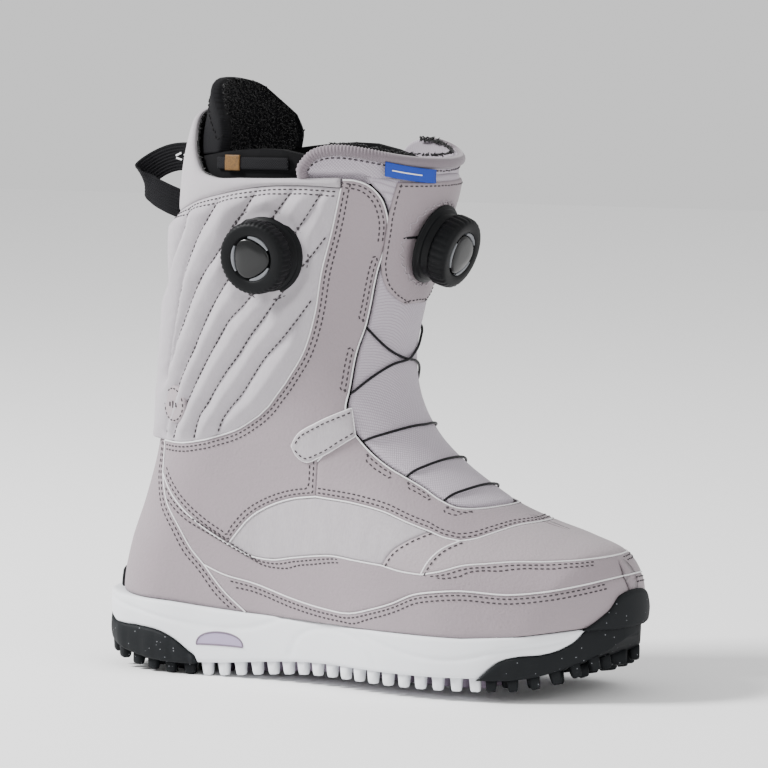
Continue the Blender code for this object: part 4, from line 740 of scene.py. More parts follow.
@dataclass(frozen=True)
class Palette:
    """Every finish on the boot."""

    leather: Finish = Finish("leather", (135, 124, 129), (149, 138, 143), Surface.GRAIN, 0.6, 760,
                             0.55, 0.0003, sheen=0.1)
    vamp: Finish = Finish("vamp_leather", (148, 138, 142), (161, 151, 155), Surface.GRAIN, 0.6, 760,
                          0.55, 0.0003, sheen=0.1)
    quilt: Finish = Finish("quilt", (150, 144, 150), (182, 177, 182), Surface.BRUSHED, 0.85, 1300,
                           0.35, 0.0003, sheen=0.3)
    window: Finish = Finish("window_mesh", (138, 131, 136), (186, 181, 185), Surface.BRUSHED, 0.85, 1500,
                            0.4, 0.0003, sheen=0.3)
    collar: Finish = Finish("collar_knit", (150, 144, 149), (176, 171, 175), Surface.BRUSHED, 0.85, 1800,
                            0.3, 0.0002, sheen=0.3)
    tongue: Finish = Finish("tongue_weave", (146, 137, 146), (180, 172, 182), Surface.WEAVE, 0.8, 620,
                            0.5, 0.0003, sheen=0.2, mapped=True)
    binding: Finish = Finish("binding_knit", (100, 91, 97), (126, 116, 123), Surface.BRUSHED, 0.85,
                             1800, 0.35, 0.0002, sheen=0.3)
    piping: Finish = Finish("piping", (205, 203, 205), (226, 225, 226), Surface.GRAIN, 0.6, 2400, 0.2,
                            0.0001)
    thread: Finish = Finish("dark_thread", (46, 41, 44), (66, 61, 64), Surface.BRUSHED, 0.7, 5000, 0.3,
                            0.0001)
    pale_thread: Finish = Finish("pale_thread", (142, 134, 139), (160, 152, 157), Surface.BRUSHED, 0.7,
                                 5000, 0.3, 0.0001)
    midsole: Finish = Finish("midsole_foam", (233, 235, 238), (225, 227, 231), Surface.GRAIN, 0.55, 1200,
                             0.12, 0.0002)
    rubber: Finish = Finish("rubber", (24, 26, 28), (118, 120, 124), Surface.SPECKLE, 0.62, 420, 0.3,
                            0.0002, shine=0.12)
    # Dark grey-purple for the inner lugs is painted shade: it stands for the shadow under the sole. The lens
    # outline reuses this finish.
    inner_lug: Finish = Finish("inner_lug", (104, 92, 108), (126, 114, 130), Surface.GRAIN, 0.6, 900,
                               0.3, 0.0002)
    lilac: Finish = Finish("lilac", (168, 156, 182), (150, 138, 166), Surface.GRAIN, 0.35, 700, 0.1,
                           0.0002)
    fleece: Finish = Finish("black_pile", (5, 5, 6), (24, 24, 26), Surface.FLEECE, 0.95, 900, 0.9,
                            0.001, sheen=0.25, shine=0.12)
    knit: Finish = Finish("black_knit", (8, 8, 9), (22, 22, 25), Surface.WEAVE, 0.85, 900, 0.5,
                          0.0002, mapped=True, shine=0.12)
    foam: Finish = Finish("black_foam", (8, 8, 9), (18, 18, 20), Surface.FLEECE, 0.85, 2200, 0.3,
                          0.0002, shine=0.12)
    webbing: Finish = Finish("webbing", (8, 8, 9), (26, 26, 29), Surface.WEAVE, 0.75, 800, 0.6,
                             0.0003, mapped=True, shine=0.12)
    pale_weave: Finish = Finish("pale_weave", (222, 222, 224), (240, 240, 240), Surface.BRUSHED, 0.8,
                                3000, 0.3, 0.0001)
    gold: Finish = Finish("gold_weave", (24, 18, 10), (128, 90, 34), Surface.FLEECE, 0.6, 700, 0.5,
                          0.0002)
    blue: Finish = Finish("blue_weave", (14, 46, 132), (26, 66, 170), Surface.WEAVE, 0.6, 1600, 0.4,
                          0.0001, mapped=True)
    gloss: Finish = Finish("gloss_plastic", (7, 8, 9), (12, 13, 14), Surface.GRAIN, 0.22, 600, 0.05,
                           0.0001)
    plastic: Finish = Finish("satin_plastic", (9, 10, 11), (16, 17, 19), Surface.GRAIN, 0.42, 2000,
                             0.15, 0.0001, shine=0.12)
    knob: Finish = Finish("knob_rubber", (8, 9, 10), (16, 17, 19), Surface.GRAIN, 0.5, 2600, 0.25,
                          0.0001, shine=0.12)
    pale_plastic: Finish = Finish("pale_plastic", (92, 94, 98), (112, 114, 118), Surface.GRAIN, 0.4,
                                  1500, 0.1, 0.0001)
    lace: Finish = Finish("lace_cord", (10, 10, 11), (30, 30, 33), Surface.BRUSHED, 0.5, 3500, 0.5,
                          0.0002, shine=0.12)
    grey_plastic: Finish = Finish("grey_plastic", (70, 70, 74), (84, 84, 88), Surface.GRAIN, 0.5, 1500,
                                  0.2, 0.0002)
    board: Finish = Finish("fibre_board", (150, 138, 118), (168, 156, 136), Surface.FLEECE, 0.8, 1500,
                           0.3, 0.0002)
    steel: Finish = Finish("steel", (150, 152, 156), (168, 170, 174), Surface.BRUSHED, 0.35, 1500, 0.15,
                           0.0001, metallic=0.9)


PALETTE = Palette()
SLOT_FINISH = {
    "upper_leather": PALETTE.leather, "quilted_textile": PALETTE.quilt, "mesh_textile": PALETTE.window,
    "tab_textile": PALETTE.window, "tongue_textile": PALETTE.tongue, "blue_label": PALETTE.blue,
    "badge_print": PALETTE.leather, "outsole_rubber": PALETTE.rubber, "midsole_foam": PALETTE.midsole,
    "cushion_lilac": PALETTE.lilac, "black_fleece": PALETTE.fleece, "liner_foam": PALETTE.foam,
    "liner_board": PALETTE.board, "footbed_foam": PALETTE.foam, "black_webbing": PALETTE.webbing,
    "gold_label": PALETTE.gold, "black_lace": PALETTE.lace, "guide_nylon": PALETTE.foam,
    "gusset_fabric": PALETTE.foam, "counter_plastic": PALETTE.grey_plastic,
    "puff_plastic": PALETTE.board, "harness_plastic": PALETTE.grey_plastic,
    "lasting_fibre": PALETTE.board, "shank_steel": PALETTE.steel, "dial_rubber": PALETTE.knob,
    "dial_gloss": PALETTE.gloss, "dial_plastic": PALETTE.plastic, "spool_plastic": PALETTE.grey_plastic,
    "screw_steel": PALETTE.steel}


def paint_frame() -> None:
    """Gives every node of the frame a procedural finish by its material slot."""
    for part in frame["record"]["subparts"]:
        thing = frame["nodes"].get(part.get("node", part.get("name")))
        if thing:
            thing.data.materials.clear()
            thing.data.materials.append(SLOT_FINISH[part["material_slot"]].material())


# ---------------------------------------------------------------- repeats and path followers
def geometry_group(name: str, inputs: Sequence[tuple[str, str]]):
    """An empty geometry node group with a geometry input and output and more named inputs."""
    tree = bpy.data.node_groups.new(name, "GeometryNodeTree")
    tree.interface.new_socket("Geometry", in_out="INPUT", socket_type="NodeSocketGeometry")
    for label, kind in inputs:
        tree.interface.new_socket(label, in_out="INPUT", socket_type=kind)
    tree.interface.new_socket("Geometry", in_out="OUTPUT", socket_type="NodeSocketGeometry")
    net = Net(tree)
    return tree, net, net.add("NodeGroupInput").outputs, net.add("NodeGroupOutput")


def close_geometry(net: Net, out: bpy.types.Node, geometry, material, smooth: bool = True) -> None:
    """Ends a geometry group with realised, smooth shaded geometry of one material."""
    real = net.add("GeometryNodeRealizeInstances", None, Geometry=geometry)
    shade = net.add("GeometryNodeSetShadeSmooth", None, _0=real.outputs[0], Shade_Smooth=smooth)
    done = net.add("GeometryNodeSetMaterial", None, Geometry=shade.outputs[0], Material=material)
    net.tree.links.new(done.outputs[0], out.inputs[0])


def repeat_group() -> bpy.types.NodeTree:
    """Copies of a piece at even steps along paths, its Z along the path and its Y down."""
    tree, net, given, out = geometry_group("repeat_along", (
        ("Piece", "NodeSocketObject"), ("Step", FLOAT), ("Material", "NodeSocketMaterial")))
    curve = net.add("GeometryNodeMeshToCurve", None, Mesh=given["Geometry"])
    level = net.add("GeometryNodeSetCurveNormal", {"mode": "Z_UP"}, Curve=curve.outputs[0])
    even = net.add("GeometryNodeResampleCurve", {"mode": "LENGTH"}, Curve=level.outputs[0],
                   Length=given["Step"])
    spots = net.add("GeometryNodeCurveToPoints", {"mode": "EVALUATED"}, Curve=even.outputs[0])
    piece = net.add("GeometryNodeObjectInfo", None, Object=given["Piece"])
    copies = net.add("GeometryNodeInstanceOnPoints", None, Points=spots.outputs["Points"],
                     Instance=piece.outputs["Geometry"], Rotation=spots.outputs["Rotation"])
    close_geometry(net, out, copies.outputs[0], given["Material"])
    return tree


def tube_group() -> bpy.types.NodeTree:
    """Round tubes along paths."""
    tree, net, given, out = geometry_group("tube_along", (
        ("Radius", FLOAT), ("Sides", "NodeSocketInt"), ("Material", "NodeSocketMaterial")))
    curve = net.add("GeometryNodeMeshToCurve", None, Mesh=given["Geometry"])
    ring = net.add("GeometryNodeCurvePrimitiveCircle", None, Resolution=given["Sides"],
                   Radius=given["Radius"])
    tube = net.add("GeometryNodeCurveToMesh", None, Curve=curve.outputs[0],
                   Profile_Curve=ring.outputs[0], Fill_Caps=True)
    close_geometry(net, out, tube.outputs[0], given["Material"])
    return tree


def scatter_group() -> bpy.types.NodeTree:
    """Tufts spread over a surface, turned and sized at random from a fixed seed."""
    tree, net, given, out = geometry_group("scatter_tufts", (
        ("Piece", "NodeSocketObject"), ("Density", FLOAT), ("Seed", "NodeSocketInt"),
        ("Material", "NodeSocketMaterial")))
    spots = net.add("GeometryNodeDistributePointsOnFaces", None, Mesh=given["Geometry"],
                    Density=given["Density"], Seed=given["Seed"])
    spin = net.add("FunctionNodeRandomValue", {"data_type": "FLOAT_VECTOR"}, Seed=given["Seed"])
    spin.inputs[0].default_value = (-0.7, -0.7, 0.0)
    spin.inputs[1].default_value = (0.7, 0.7, 6.28)
    turn = net.add("FunctionNodeEulerToRotation", None, Euler=spin.outputs[0])
    both = net.add("FunctionNodeRotateRotation", {"rotation_space": "LOCAL"},
                   Rotation=spots.outputs["Rotation"], Rotate_By=turn.outputs[0])
    size = net.add("FunctionNodeRandomValue", {"data_type": "FLOAT"}, Seed=given["Seed"])
    size.inputs[2].default_value = 0.6
    size.inputs[3].default_value = 1.2
    piece = net.add("GeometryNodeObjectInfo", None, Object=given["Piece"])
    copies = net.add("GeometryNodeInstanceOnPoints", None, Points=spots.outputs["Points"],
                     Instance=piece.outputs["Geometry"], Rotation=both.outputs[0],
                     Scale=size.outputs[1])
    close_geometry(net, out, copies.outputs[0], given["Material"])
    return tree


REPEAT, TUBE, SCATTER = repeat_group(), tube_group(), scatter_group()


def paths_mesh(name: str, lines: Sequence[Array], closed: bool = False) -> bpy.types.Object:
    """An object whose edges are the given lines of points."""
    points, edges = [], []
    for line in lines:
        start = len(points)
        points += np.asarray(line).tolist()
        count = len(line)
        edges += [(start + i, start + i + 1) for i in range(count - 1)]
        if closed:
            edges.append((start + count - 1, start))
    mesh = bpy.data.meshes.new(name)
    mesh.from_pydata(points, edges, [])
    thing = bpy.data.objects.new(name, mesh)
    bpy.context.scene.collection.objects.link(thing)
    return thing


def swept(name: str, line: Array, radius: Array, sides: int) -> bpy.types.Object:
    """A closed round bar along a line, its radius given at each point."""
    tangent = np.gradient(line, axis=0)
    tangent /= np.linalg.norm(tangent, axis=1)[:, None]
    up = np.array((0.0, 0.0, 1.0)) - tangent * tangent[:, 2:3]
    up /= np.linalg.norm(up, axis=1)[:, None]
    out = np.cross(tangent, up)
    turn = np.arange(sides) / sides * 2 * math.pi
    rings = line[:, None] + radius[:, None, None] * (
        np.cos(turn)[None, :, None] * up[:, None] + np.sin(turn)[None, :, None] * out[:, None])
    faces = [(i * sides + j, i * sides + (j + 1) % sides, (i + 1) * sides + (j + 1) % sides,
              (i + 1) * sides + j) for i in range(len(line) - 1) for j in range(sides)]
    last = (len(line) - 1) * sides
    faces += [tuple(range(sides - 1, -1, -1)), tuple(range(last, last + sides))]
    return mesh_object(name, rings.reshape(-1, 3), faces)


def grown(base: bpy.types.Object, group: bpy.types.NodeTree, **inputs) -> bpy.types.Object:
    """What a geometry group makes of an object, as a plain mesh object in its place."""
    modifier = base.modifiers.new("grow", "NODES")
    modifier.node_group = group
    for item in group.interface.items_tree:
        if item.in_out == "INPUT" and item.name in inputs:
            modifier[item.identifier] = inputs[item.name]
    bpy.context.view_layer.update()
    graph = bpy.context.evaluated_depsgraph_get()
    mesh = bpy.data.meshes.new_from_object(base.evaluated_get(graph))
    old = base.data
    base.modifiers.remove(modifier)
    base.data = mesh
    mesh.name = base.name
    bpy.data.meshes.remove(old)
    return base


def tubes(name: str, lines: Sequence[Array], radius: float, finish: Finish, sides: int = 8,
          closed: bool = False) -> bpy.types.Object:
    """Tubes of one finish along lines."""
    return grown(paths_mesh(name, lines, closed), TUBE, Radius=radius, Sides=sides,
                 Material=finish.material())


def helper(name: str, points: Array, faces: Iterable[Sequence[int]]) -> bpy.types.Object:
    """A piece for the node groups to copy, not shown itself."""
    thing = mesh_object(name, points, faces)
    bpy.context.scene.collection.objects.unlink(thing)
    return thing


def stitch_piece(length: float, radius: float) -> bpy.types.Object:
    """One stitch: a slim rounded capsule along Z."""
    profile = [(0.35, -0.5), (0.85, -0.42), (1.0, -0.25), (1.0, 0.25), (0.85, 0.42), (0.35, 0.5)]
    turn = np.arange(6) / 6 * 2 * math.pi
    points = [(r * radius * math.cos(a), r * radius * math.sin(a), h * length)
              for r, h in profile for a in turn]
    faces = [(i * 6 + j, i * 6 + (j + 1) % 6, (i + 1) * 6 + (j + 1) % 6, (i + 1) * 6 + j)
             for i in range(len(profile) - 1) for j in range(6)]
    faces += [tuple(range(5, -1, -1)), tuple(range(30, 36))]
    return helper("stitch_piece", np.array(points), faces)


def block_piece(name: str, size: Sequence[float], taper: float) -> bpy.types.Object:
    """A block under its origin along Y, narrower at its far end, with bevelled corners."""
    w, h, d = size
    points, faces = [], []
    levels = [(0.0, 1.0), (h * 0.85, 1.0 - taper * 0.85), (h, 1.0 - taper - 0.12)]
    for y, k in levels:
        for sx, sz in ((-1, -0.7), (-0.7, -1), (0.7, -1), (1, -0.7), (1, 0.7), (0.7, 1), (-0.7, 1),
                       (-1, 0.7)):
            points.append((sx * w / 2 * k, y, sz * d / 2 * k))
    for i in range(2):
        for j in range(8):
            a, b = i * 8 + j, i * 8 + (j + 1) % 8
            faces.append((a, b, b + 8, a + 8))
    faces += [tuple(range(7, -1, -1)), tuple(range(16, 24))]
    return helper(name, np.array(points), faces)


@dataclass
class Thread:
    """Stitch rows of one body and one finish, gathered and then made in one piece."""

    name: str
    body: str
    finish: Finish
    pitch: float = 0.0028
    length: float = 0.0017
    radius: float = 0.00040
    rows: list[Array] = field(default_factory=list)

    def add(self, *lines: Array) -> None:
        """Adds rows."""
        self.rows += [line for line in lines if len(line) > 2]

    def build(self) -> bpy.types.Object:
        """The stitches as one mesh that rides on the body."""
        rows = [resample(line, 0.0015) for line in self.rows]
        piece = stitch_piece(self.length, self.radius)
        made = grown(paths_mesh(self.name, rows), REPEAT, Piece=piece, Step=self.pitch,
                     Material=self.finish.material())
        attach(made, self.body)
        LOG.info("%s: %d rows", self.name, len(rows))
        return made


# ---------------------------------------------------------------- seams and panels
class Seams:
    """Every seam of the upper as a fine side-view line, shared by the panels on both its sides."""

    def __init__(self, form: BootForm) -> None:
        """Samples the drawing's seams."""
        d, curve = form.drawing, form.curve
        feather = form.place(d.feather)
        low = int(np.linalg.norm(feather - form.place([(-49, 28)]), axis=1).argmin())
        self.feather_heel = spline(feather[: low + 1], np.linspace(0, 1, 51) ** 2)
        self.feather_heel[0] = form.back.snap(feather[0])
        self.feather_fore = spline(feather[low:], 1 - (1 - np.linspace(0, 1, 151)) ** 2)
        self.feather_fore[-1] = form.front.snap(feather[-1])
        for name, count in (("heel_low", 10), ("heel_mid", 20), ("heel_top", 10), ("rand_tail", 30),
                            ("rand_window", 60), ("rand_wedge", 10), ("window_top", 30),
                            ("throat_window", 30), ("throat_wedge", 10), ("wedge_back", 20),
                            ("wedge_front", 20), ("quarter_step", 14), ("quarter_tab", 10),
                            ("eyestay_high", 90), ("quilt_front", 90)):
            setattr(self, name, curve(getattr(d, name), count))
        for name, count in (("lower_rand", 150), ("rand_toe", 50), ("throat_toe", 50),
                            ("eyestay_low", 80)):
            line = curve(getattr(d, name), count, 2.0, True)
            line[-1] = form.front.snap(line[-1])
            setattr(self, name, line)
        for name, count, ease in (("counter_top", 50, 2.0), ("collar_seam", 134, 1.7),
                                  ("collar_rim", 134, 1.7)):
            line = curve(getattr(d, name), count, ease)
            line[0] = form.back.snap(line[0])
            setattr(self, name, line)
        self.quilt_floor = chain(*(curve(points, n) for points, n in
                                   zip(d.quilt_floor, (24, 30, 12, 18))))


def straight(start: Array, end: Array, segments: int, power: float = 1.0) -> Array:
    """A straight run, its points closer together at its end for a power over one."""
    return start + (end - start) * (1 - (1 - np.linspace(0, 1, segments + 1)[:, None]) ** power)


def over_front(form: BootForm, name: str, grid: Array, depth: float = 0.0) -> Panel:
    """A panel that runs over the front outline, from its lateral half."""
    rows, n = grid.shape[:2]
    ridge = np.zeros((rows, 2 * n - 1), bool)
    ridge[:, n - 1] = True
    side = np.broadcast_to(np.r_[-np.ones(n), np.ones(n - 1)], ridge.shape)
    return Panel(form, name, np.concatenate([grid, grid[:, -2::-1]], 1), side, ridge, depth)


def over_back(form: BootForm, name: str, grid: Array, depth: float = 0.0) -> Panel:
    """A panel that runs over the back outline, from its lateral half."""
    rows, n = grid.shape[:2]
    ridge = np.zeros((rows, 2 * n - 1), bool)
    ridge[:, n - 1] = True
    side = np.broadcast_to(np.r_[np.ones(n - 1), -np.ones(n)], ridge.shape)
    return Panel(form, name, np.concatenate([grid[:, :0:-1], grid], 1), side, ridge, depth)


def one_side(form: BootForm, name: str, grid: Array, side: Side, depth: float = 0.0) -> Panel:
    """A panel on one side of the boot only."""
    turned = grid if side is Side.LATERAL else grid[:, ::-1]
    shape = turned.shape[:2]
    return Panel(form, name, turned, np.full(shape, side.value), np.zeros(shape, bool), depth)


def settle(thing: bpy.types.Object, finish: Finish, body: str, nodes: Sequence[str] = ()) -> bpy.types.Object:
    """Gives a piece its finish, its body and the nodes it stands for."""
    if not thing.data.materials:
        thing.data.materials.append(finish.material())
    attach(thing, body)
    if nodes:
        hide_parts(*nodes)
    LOG.info("%s: %d faces", thing.name, len(thing.data.polygons))
    return thing


@dataclass
class Upper:
    """The shell's outer panels with their piping and stitching."""

    form: BootForm
    seams: Seams
    thread: Thread
    skin: float = 1.5 * MM
    seam_gap: float = 0.15 * MM
    edge_roll: float = 1.3 * MM
    edge_drop: float = 0.55 * MM
    piping_radius: float = 0.42 * MM
    first_row: float = 1.9 * MM
    second_row: float = 4.1 * MM
    puff: float = 4.8 * MM
    toe_break: tuple[float, float] = (110 * MM, 12 * MM)
    piping: list[Array] = field(default_factory=list)

    def dress(self, panel: Panel, finish: Finish, nodes: Sequence[str],
              skip: Sequence[Edge] = ()) -> None:
        """Rounds a panel's edges and makes its mesh."""
        panel.inset(self.seam_gap)
        panel.roll_edges(self.edge_roll, self.edge_drop, skip)
        settle(panel.build(self.skin), finish, "boot", nodes)

    def double(self, panel: Panel, which: Edge, start: float = 2 * MM, end: float = 2 * MM) -> None:
        """Two stitch rows along one edge of a panel."""
        for distance in (self.first_row, self.second_row):
            line = trim(panel.row(which, distance), start, end)
            tip = (line[:, 0] > self.toe_break[0]) & (np.abs(line[:, 1]) < self.toe_break[1])
            sides = (line[:, 1] < 0, line[:, 1] > 0)
            halves = [line[~tip & on] for on in sides] if tip.any() else [line]
            self.thread.add(*(half for half in halves if len(half) > 4))

    def boxes(self, panel: Panel, which: Edge, axis: int, spans: Points, side: Side) -> None:
        """Long closed stitch boxes along one edge of a panel.

        Args:
            panel: The panel.
            which: Its edge.
            axis: The axis, 0 to 2, that the spans are measured along.
            spans: Start and end of each box, in drawn millimetres.
            side: The side of the boot that they are on.
        """
        near, far = panel.row(which, self.first_row), panel.row(which, self.second_row)
        for low, high in spans:
            halves = [line[(line[:, axis] > low * MM) & (line[:, axis] < high * MM)
                           & (line[:, 1] * side.value > 0)] for line in (near, far)]
            if min(map(len, halves)) > 2:
                self.thread.add(np.vstack([halves[0], halves[1][::-1], halves[0][:1]]))

    def eyestay_rows(self, panel: Panel) -> None:
        """A quarter's stitching: rows over the window, boxes up the eyestay, rows at its corner."""
        side = Side(int(panel.side[0, 0]))
        for distance in (self.first_row, self.second_row):
            line = panel.row(Edge.BOTTOM, distance)
            if side is Side.MEDIAL:
                line = line[::-1]
            crest = line[:, 2] > 213 * MM
            self.thread.add(trim(line[line[:, 2] < 106 * MM], 4 * MM, 1 * MM), line[crest])
        self.boxes(panel, Edge.BOTTOM, 2, ((139, 161), (173, 206)), side)

    def pipe(self, line: Array, depth: float = 0.1 * MM) -> None:
        """A pale cut edge along a side-view line, on both sides of the boot."""
        for side in Side:
            self.piping.append(resample(self.form.at_depth(line, side.value, depth), 1.2 * MM))

    def lower_panels(self) -> None:
        """The heel overlay, both rands, the vamp and the throat overlay."""
        s, form, leather = self.seams, self.form, PALETTE.leather
        heel = fill(s.feather_heel, s.counter_top,
                    form.back.between(s.feather_heel[0], s.counter_top[0], 40),
                    chain(s.heel_low, s.heel_mid, s.heel_top))
        panel = over_back(form, "heel_panel", heel)
        self.dress(panel, leather, ["heel_overlay"])
        self.double(panel, Edge.RIGHT, 3 * MM)
        self.double(panel, Edge.LEFT, 3 * MM)
        panel = over_front(form, "lower_rand_panel", fill(
            s.feather_fore, s.lower_rand, s.heel_low,
            form.front.between(s.feather_fore[-1], s.lower_rand[-1], 10)))
        self.dress(panel, leather, ["rand_lower"])
        self.double(panel, Edge.TOP, 14 * MM, 14 * MM)
        upper = chain(s.rand_tail, s.rand_window, s.rand_wedge, s.rand_toe)
        panel = over_front(form, "upper_rand_panel", fill(
            s.lower_rand, upper, s.heel_mid, form.front.between(s.lower_rand[-1], upper[-1], 20)))
        self.dress(panel, leather, ["rand_upper"])
        self.double(panel, Edge.TOP, 4 * MM, 4 * MM)
        vamp = fill(chain(s.rand_wedge, s.rand_toe), chain(s.throat_wedge, s.throat_toe), s.wedge_back,
                    form.front.between(s.rand_toe[-1], s.throat_toe[-1], 20))
        panel = over_front(form, "vamp_panel", vamp)
        self.dress(panel, PALETTE.vamp, ["vamp"])
        throat = chain(s.throat_window, s.throat_wedge, s.throat_toe)
        panel = over_front(form, "throat_panel", fill(
            throat, chain(s.quarter_tab, s.eyestay_low), s.quarter_step,
            form.front.between(throat[-1], s.eyestay_low[-1], 14)))
        self.dress(panel, leather, ["throat_overlay"])
        self.double(panel, Edge.BOTTOM)
        for side in Side:
            self.boxes(panel, Edge.TOP, 0, ((17, 32), (40, 54), (61, 73)), side)
        for line in (s.wedge_front, s.wedge_back):
            away = line[1:-1] + np.array((1.8, -0.6)) * MM
            for side in Side:
                self.thread.add(form.at_depth(away, side.value, -0.1 * MM))
        for line in (chain(s.heel_low, s.heel_mid, s.heel_top), s.lower_rand, upper, throat,
                     s.window_top, s.wedge_front):
            self.pipe(line)

    def side_panels(self) -> None:
        """Windows, quarters and ankle tabs, on each side."""
        s, form, d = self.seams, self.form, self.form.drawing
        tip = np.repeat(s.rand_window[:1], 21, 0)
        window = fill(s.rand_window, chain(s.window_top, s.throat_window), tip, s.wedge_back)
        outer = chain(s.rand_tail, s.window_top, s.quarter_step, s.quarter_tab, s.eyestay_high)
        inner = chain(s.quilt_floor, s.quilt_front)
        quarter = fill(outer, inner, straight(outer[0], inner[0], 24),
                       straight(outer[-1], inner[-1], 24))
        upper, lower = form.curve(d.tab_upper, 40), form.curve(d.tab_lower, 40)
        tab = fill(lower, upper, np.repeat(upper[:1], 21, 0), straight(lower[-1], upper[-1], 20))
        for side, word in ((Side.LATERAL, "lateral"), (Side.MEDIAL, "medial")):
            panel = one_side(form, f"window_panel_{word}", window, side)
            panel.raise_by(np.full(panel.outer.shape[:2], -0.25 * MM))
            self.dress(panel, PALETTE.window, [f"side_window_{word}"])
            panel = one_side(form, f"quarter_panel_{word}", quarter, side)
            self.dress(panel, PALETTE.leather, [f"quarter_{word}"])
            self.eyestay_rows(panel)
            self.double(panel, Edge.TOP, 3 * MM, 5 * MM)
            panel = one_side(form, f"tab_panel_{word}", tab, side, -1.5 * MM)
            panel.roll_edges(1.2 * MM, 0.9 * MM)
            settle(panel.build(1.4 * MM), PALETTE.window, "boot", [f"ankle_tab_{word}"])
            for edge in (Edge.BOTTOM, Edge.TOP):
                self.thread.add(trim(panel.row(edge, 1.9 * MM), 4 * MM, 2 * MM))
            rim = np.vstack([lower, upper[::-1]])
            self.piping.append(resample(form.at_depth(rim, side.value, -0.6 * MM), 1.2 * MM))
        for line in (inner, s.eyestay_high, chain(s.quarter_tab, s.eyestay_low)):
            self.pipe(line)

    def quilt_height(self, grid: Array) -> Array:
        """Height of the quilted padding over the plain surface at side-view points."""
        d, form = self.form.drawing, self.form
        lift = [np.insert(form.curve(points, 80), 1, 0, axis=1) for points in d.channels]
        flat = np.insert(grid, 1, 0, axis=-1)
        near = nearest_distance(flat, lift, 0.7 * MM)
        border = [np.insert(line, 1, 0, axis=1) for line in
                  (chain(self.seams.quilt_floor, self.seams.quilt_front), self.seams.collar_seam)]
        rim = nearest_distance(flat, border, 0.7 * MM)
        dial = np.linalg.norm(grid - form.place([d.side_dial])[0], axis=-1)
        room = ramp(0, 8 * MM, rim) * ramp(19.5 * MM, 28 * MM, dial)
        body = self.puff * (1 - np.exp(-((near / (4.8 * MM)) ** 1.15)))
        groove = 0.55 * MM * np.exp(-((near / (0.9 * MM)) ** 2))
        along = 0.62 * grid[..., 0] + 0.78 * grid[..., 1]
        wave = np.sin(along * 2 * math.pi / (5.3 * MM) + 2.2 * np.sin(along * 190 + grid[..., 0] * 330))
        pucker = 0.2 * MM * wave * np.exp(-(((near - 2.4 * MM) / (1.9 * MM)) ** 2))
        slack = 0.22 * MM * np.sin(along * 160 + 3 * np.sin(grid[..., 0] * 90))
        return (body + pucker + slack) * room - groove

    def cuff(self) -> None:
        """The quilted cuffs, the collar band and their stitching."""
        s, form, d = self.seams, self.form, self.form.drawing
        floor = chain(s.counter_top, s.quilt_floor)
        roof = spline(s.collar_seam, np.linspace(0, 1, len(floor)) ** 1.3)
        quilt = fill(floor, roof, form.back.between(floor[0], roof[0], 90), s.quilt_front)
        panel = over_back(form, "quilted_panel", quilt)
        panel.raise_by(self.quilt_height(panel.grid))
        self.dress(panel, PALETTE.quilt, ["quilted_cuff_lateral", "quilted_cuff_medial"])
        for distance in (1.7 * MM, 3.9 * MM):
            self.thread.add(trim(panel.row(Edge.TOP, distance), 3 * MM, 3 * MM))
        for channel in d.channels:
            line = form.curve(channel, 90)
            for side in Side:
                self.thread.add(form.at_depth(trim(line, 4 * MM, 3 * MM), side.value, 0.1 * MM))
        band = fill(s.collar_seam, s.collar_rim,
                    form.back.between(s.collar_seam[0], s.collar_rim[0], 26),
                    straight(s.collar_seam[-1], s.collar_rim[-1], 26))
        panel = over_back(form, "collar_panel", band)
        across = np.linspace(0, 1, 27)[:, None] * np.ones((1, panel.outer.shape[1]))
        panel.raise_by(1.1 * MM * np.sin(math.pi * across) ** 0.8)
        panel.inset(self.seam_gap)
        panel.roll_edges(2.6 * MM, 1.3 * MM)
        settle(panel.build(2.4 * MM), PALETTE.collar, "boot", ["collar_band"])
        self.rim_pile(s.collar_rim)

    def rim_pile(self, rim: Array) -> None:
        """Black pile inside the shell's rim."""
        low = rim + np.array((0.3, -22)) * MM
        low[0] = self.form.back.snap(low[0])
        grid = fill(low[:70], (rim - np.array((0, 1.4)) * MM)[:70],
                    self.form.back.between(low[0], self.form.back.snap(rim[0]), 10),
                    straight(low[69], rim[69], 10))
        panel = over_back(self.form, "rim_pile", grid, 3.4 * MM)
        inward = mesh_object("rim_pile", panel.outer.reshape(-1, 3),
                             grid_faces(*panel.outer.shape[:2], flip=True))
        made = grown(inward, SCATTER, Piece=tuft_piece(), Density=700000.0, Seed=4,
                     Material=PALETTE.fleece.material())
        settle(made, PALETTE.fleece, "boot", ())

    def badge(self) -> None:
        """The round badge over the heel's quilting, with a plain embossed mark."""
        form, d = self.form, self.form.drawing
        turn = np.linspace(0, 2 * math.pi, 65)
        reach = np.linspace(0, 1, 14)[:, None] * 9.4 * MM
        centre = form.place([d.badge])[0]
        grid = centre + np.stack([0.9 * reach * np.cos(turn), reach * np.sin(turn)], -1)
        panel = one_side(form, "badge_patch", grid, Side.LATERAL, -2.1 * MM)
        edge = np.clip((9.4 * MM - reach) / (1.2 * MM), 0, 1)
        drop = 0.8 * MM * (1 - np.sqrt(1 - (1 - edge) ** 2)) * np.ones((1, len(turn)))
        panel.raise_by(-drop)
        patch = sheet_mesh("badge_patch", panel.outer[::-1], (panel.outer - panel.normal * 3 * MM)[::-1])
        settle(patch, PALETTE.vamp, "boot", ["badge"])
        self.thread.add(panel.outer[11])
        bars = []
        for i, tall in enumerate((2.2, 3.4, 2.2)):
            x = (i - 1) * 2.4
            line = centre + np.array([(x, -tall / 2), (x, tall / 2)]) * MM
            bars.append(form.at_depth(resample(line, 0.6 * MM), -1, -2.15 * MM))
        settle(tubes("badge_mark", bars, 0.5 * MM, PALETTE.thread), PALETTE.thread, "boot")

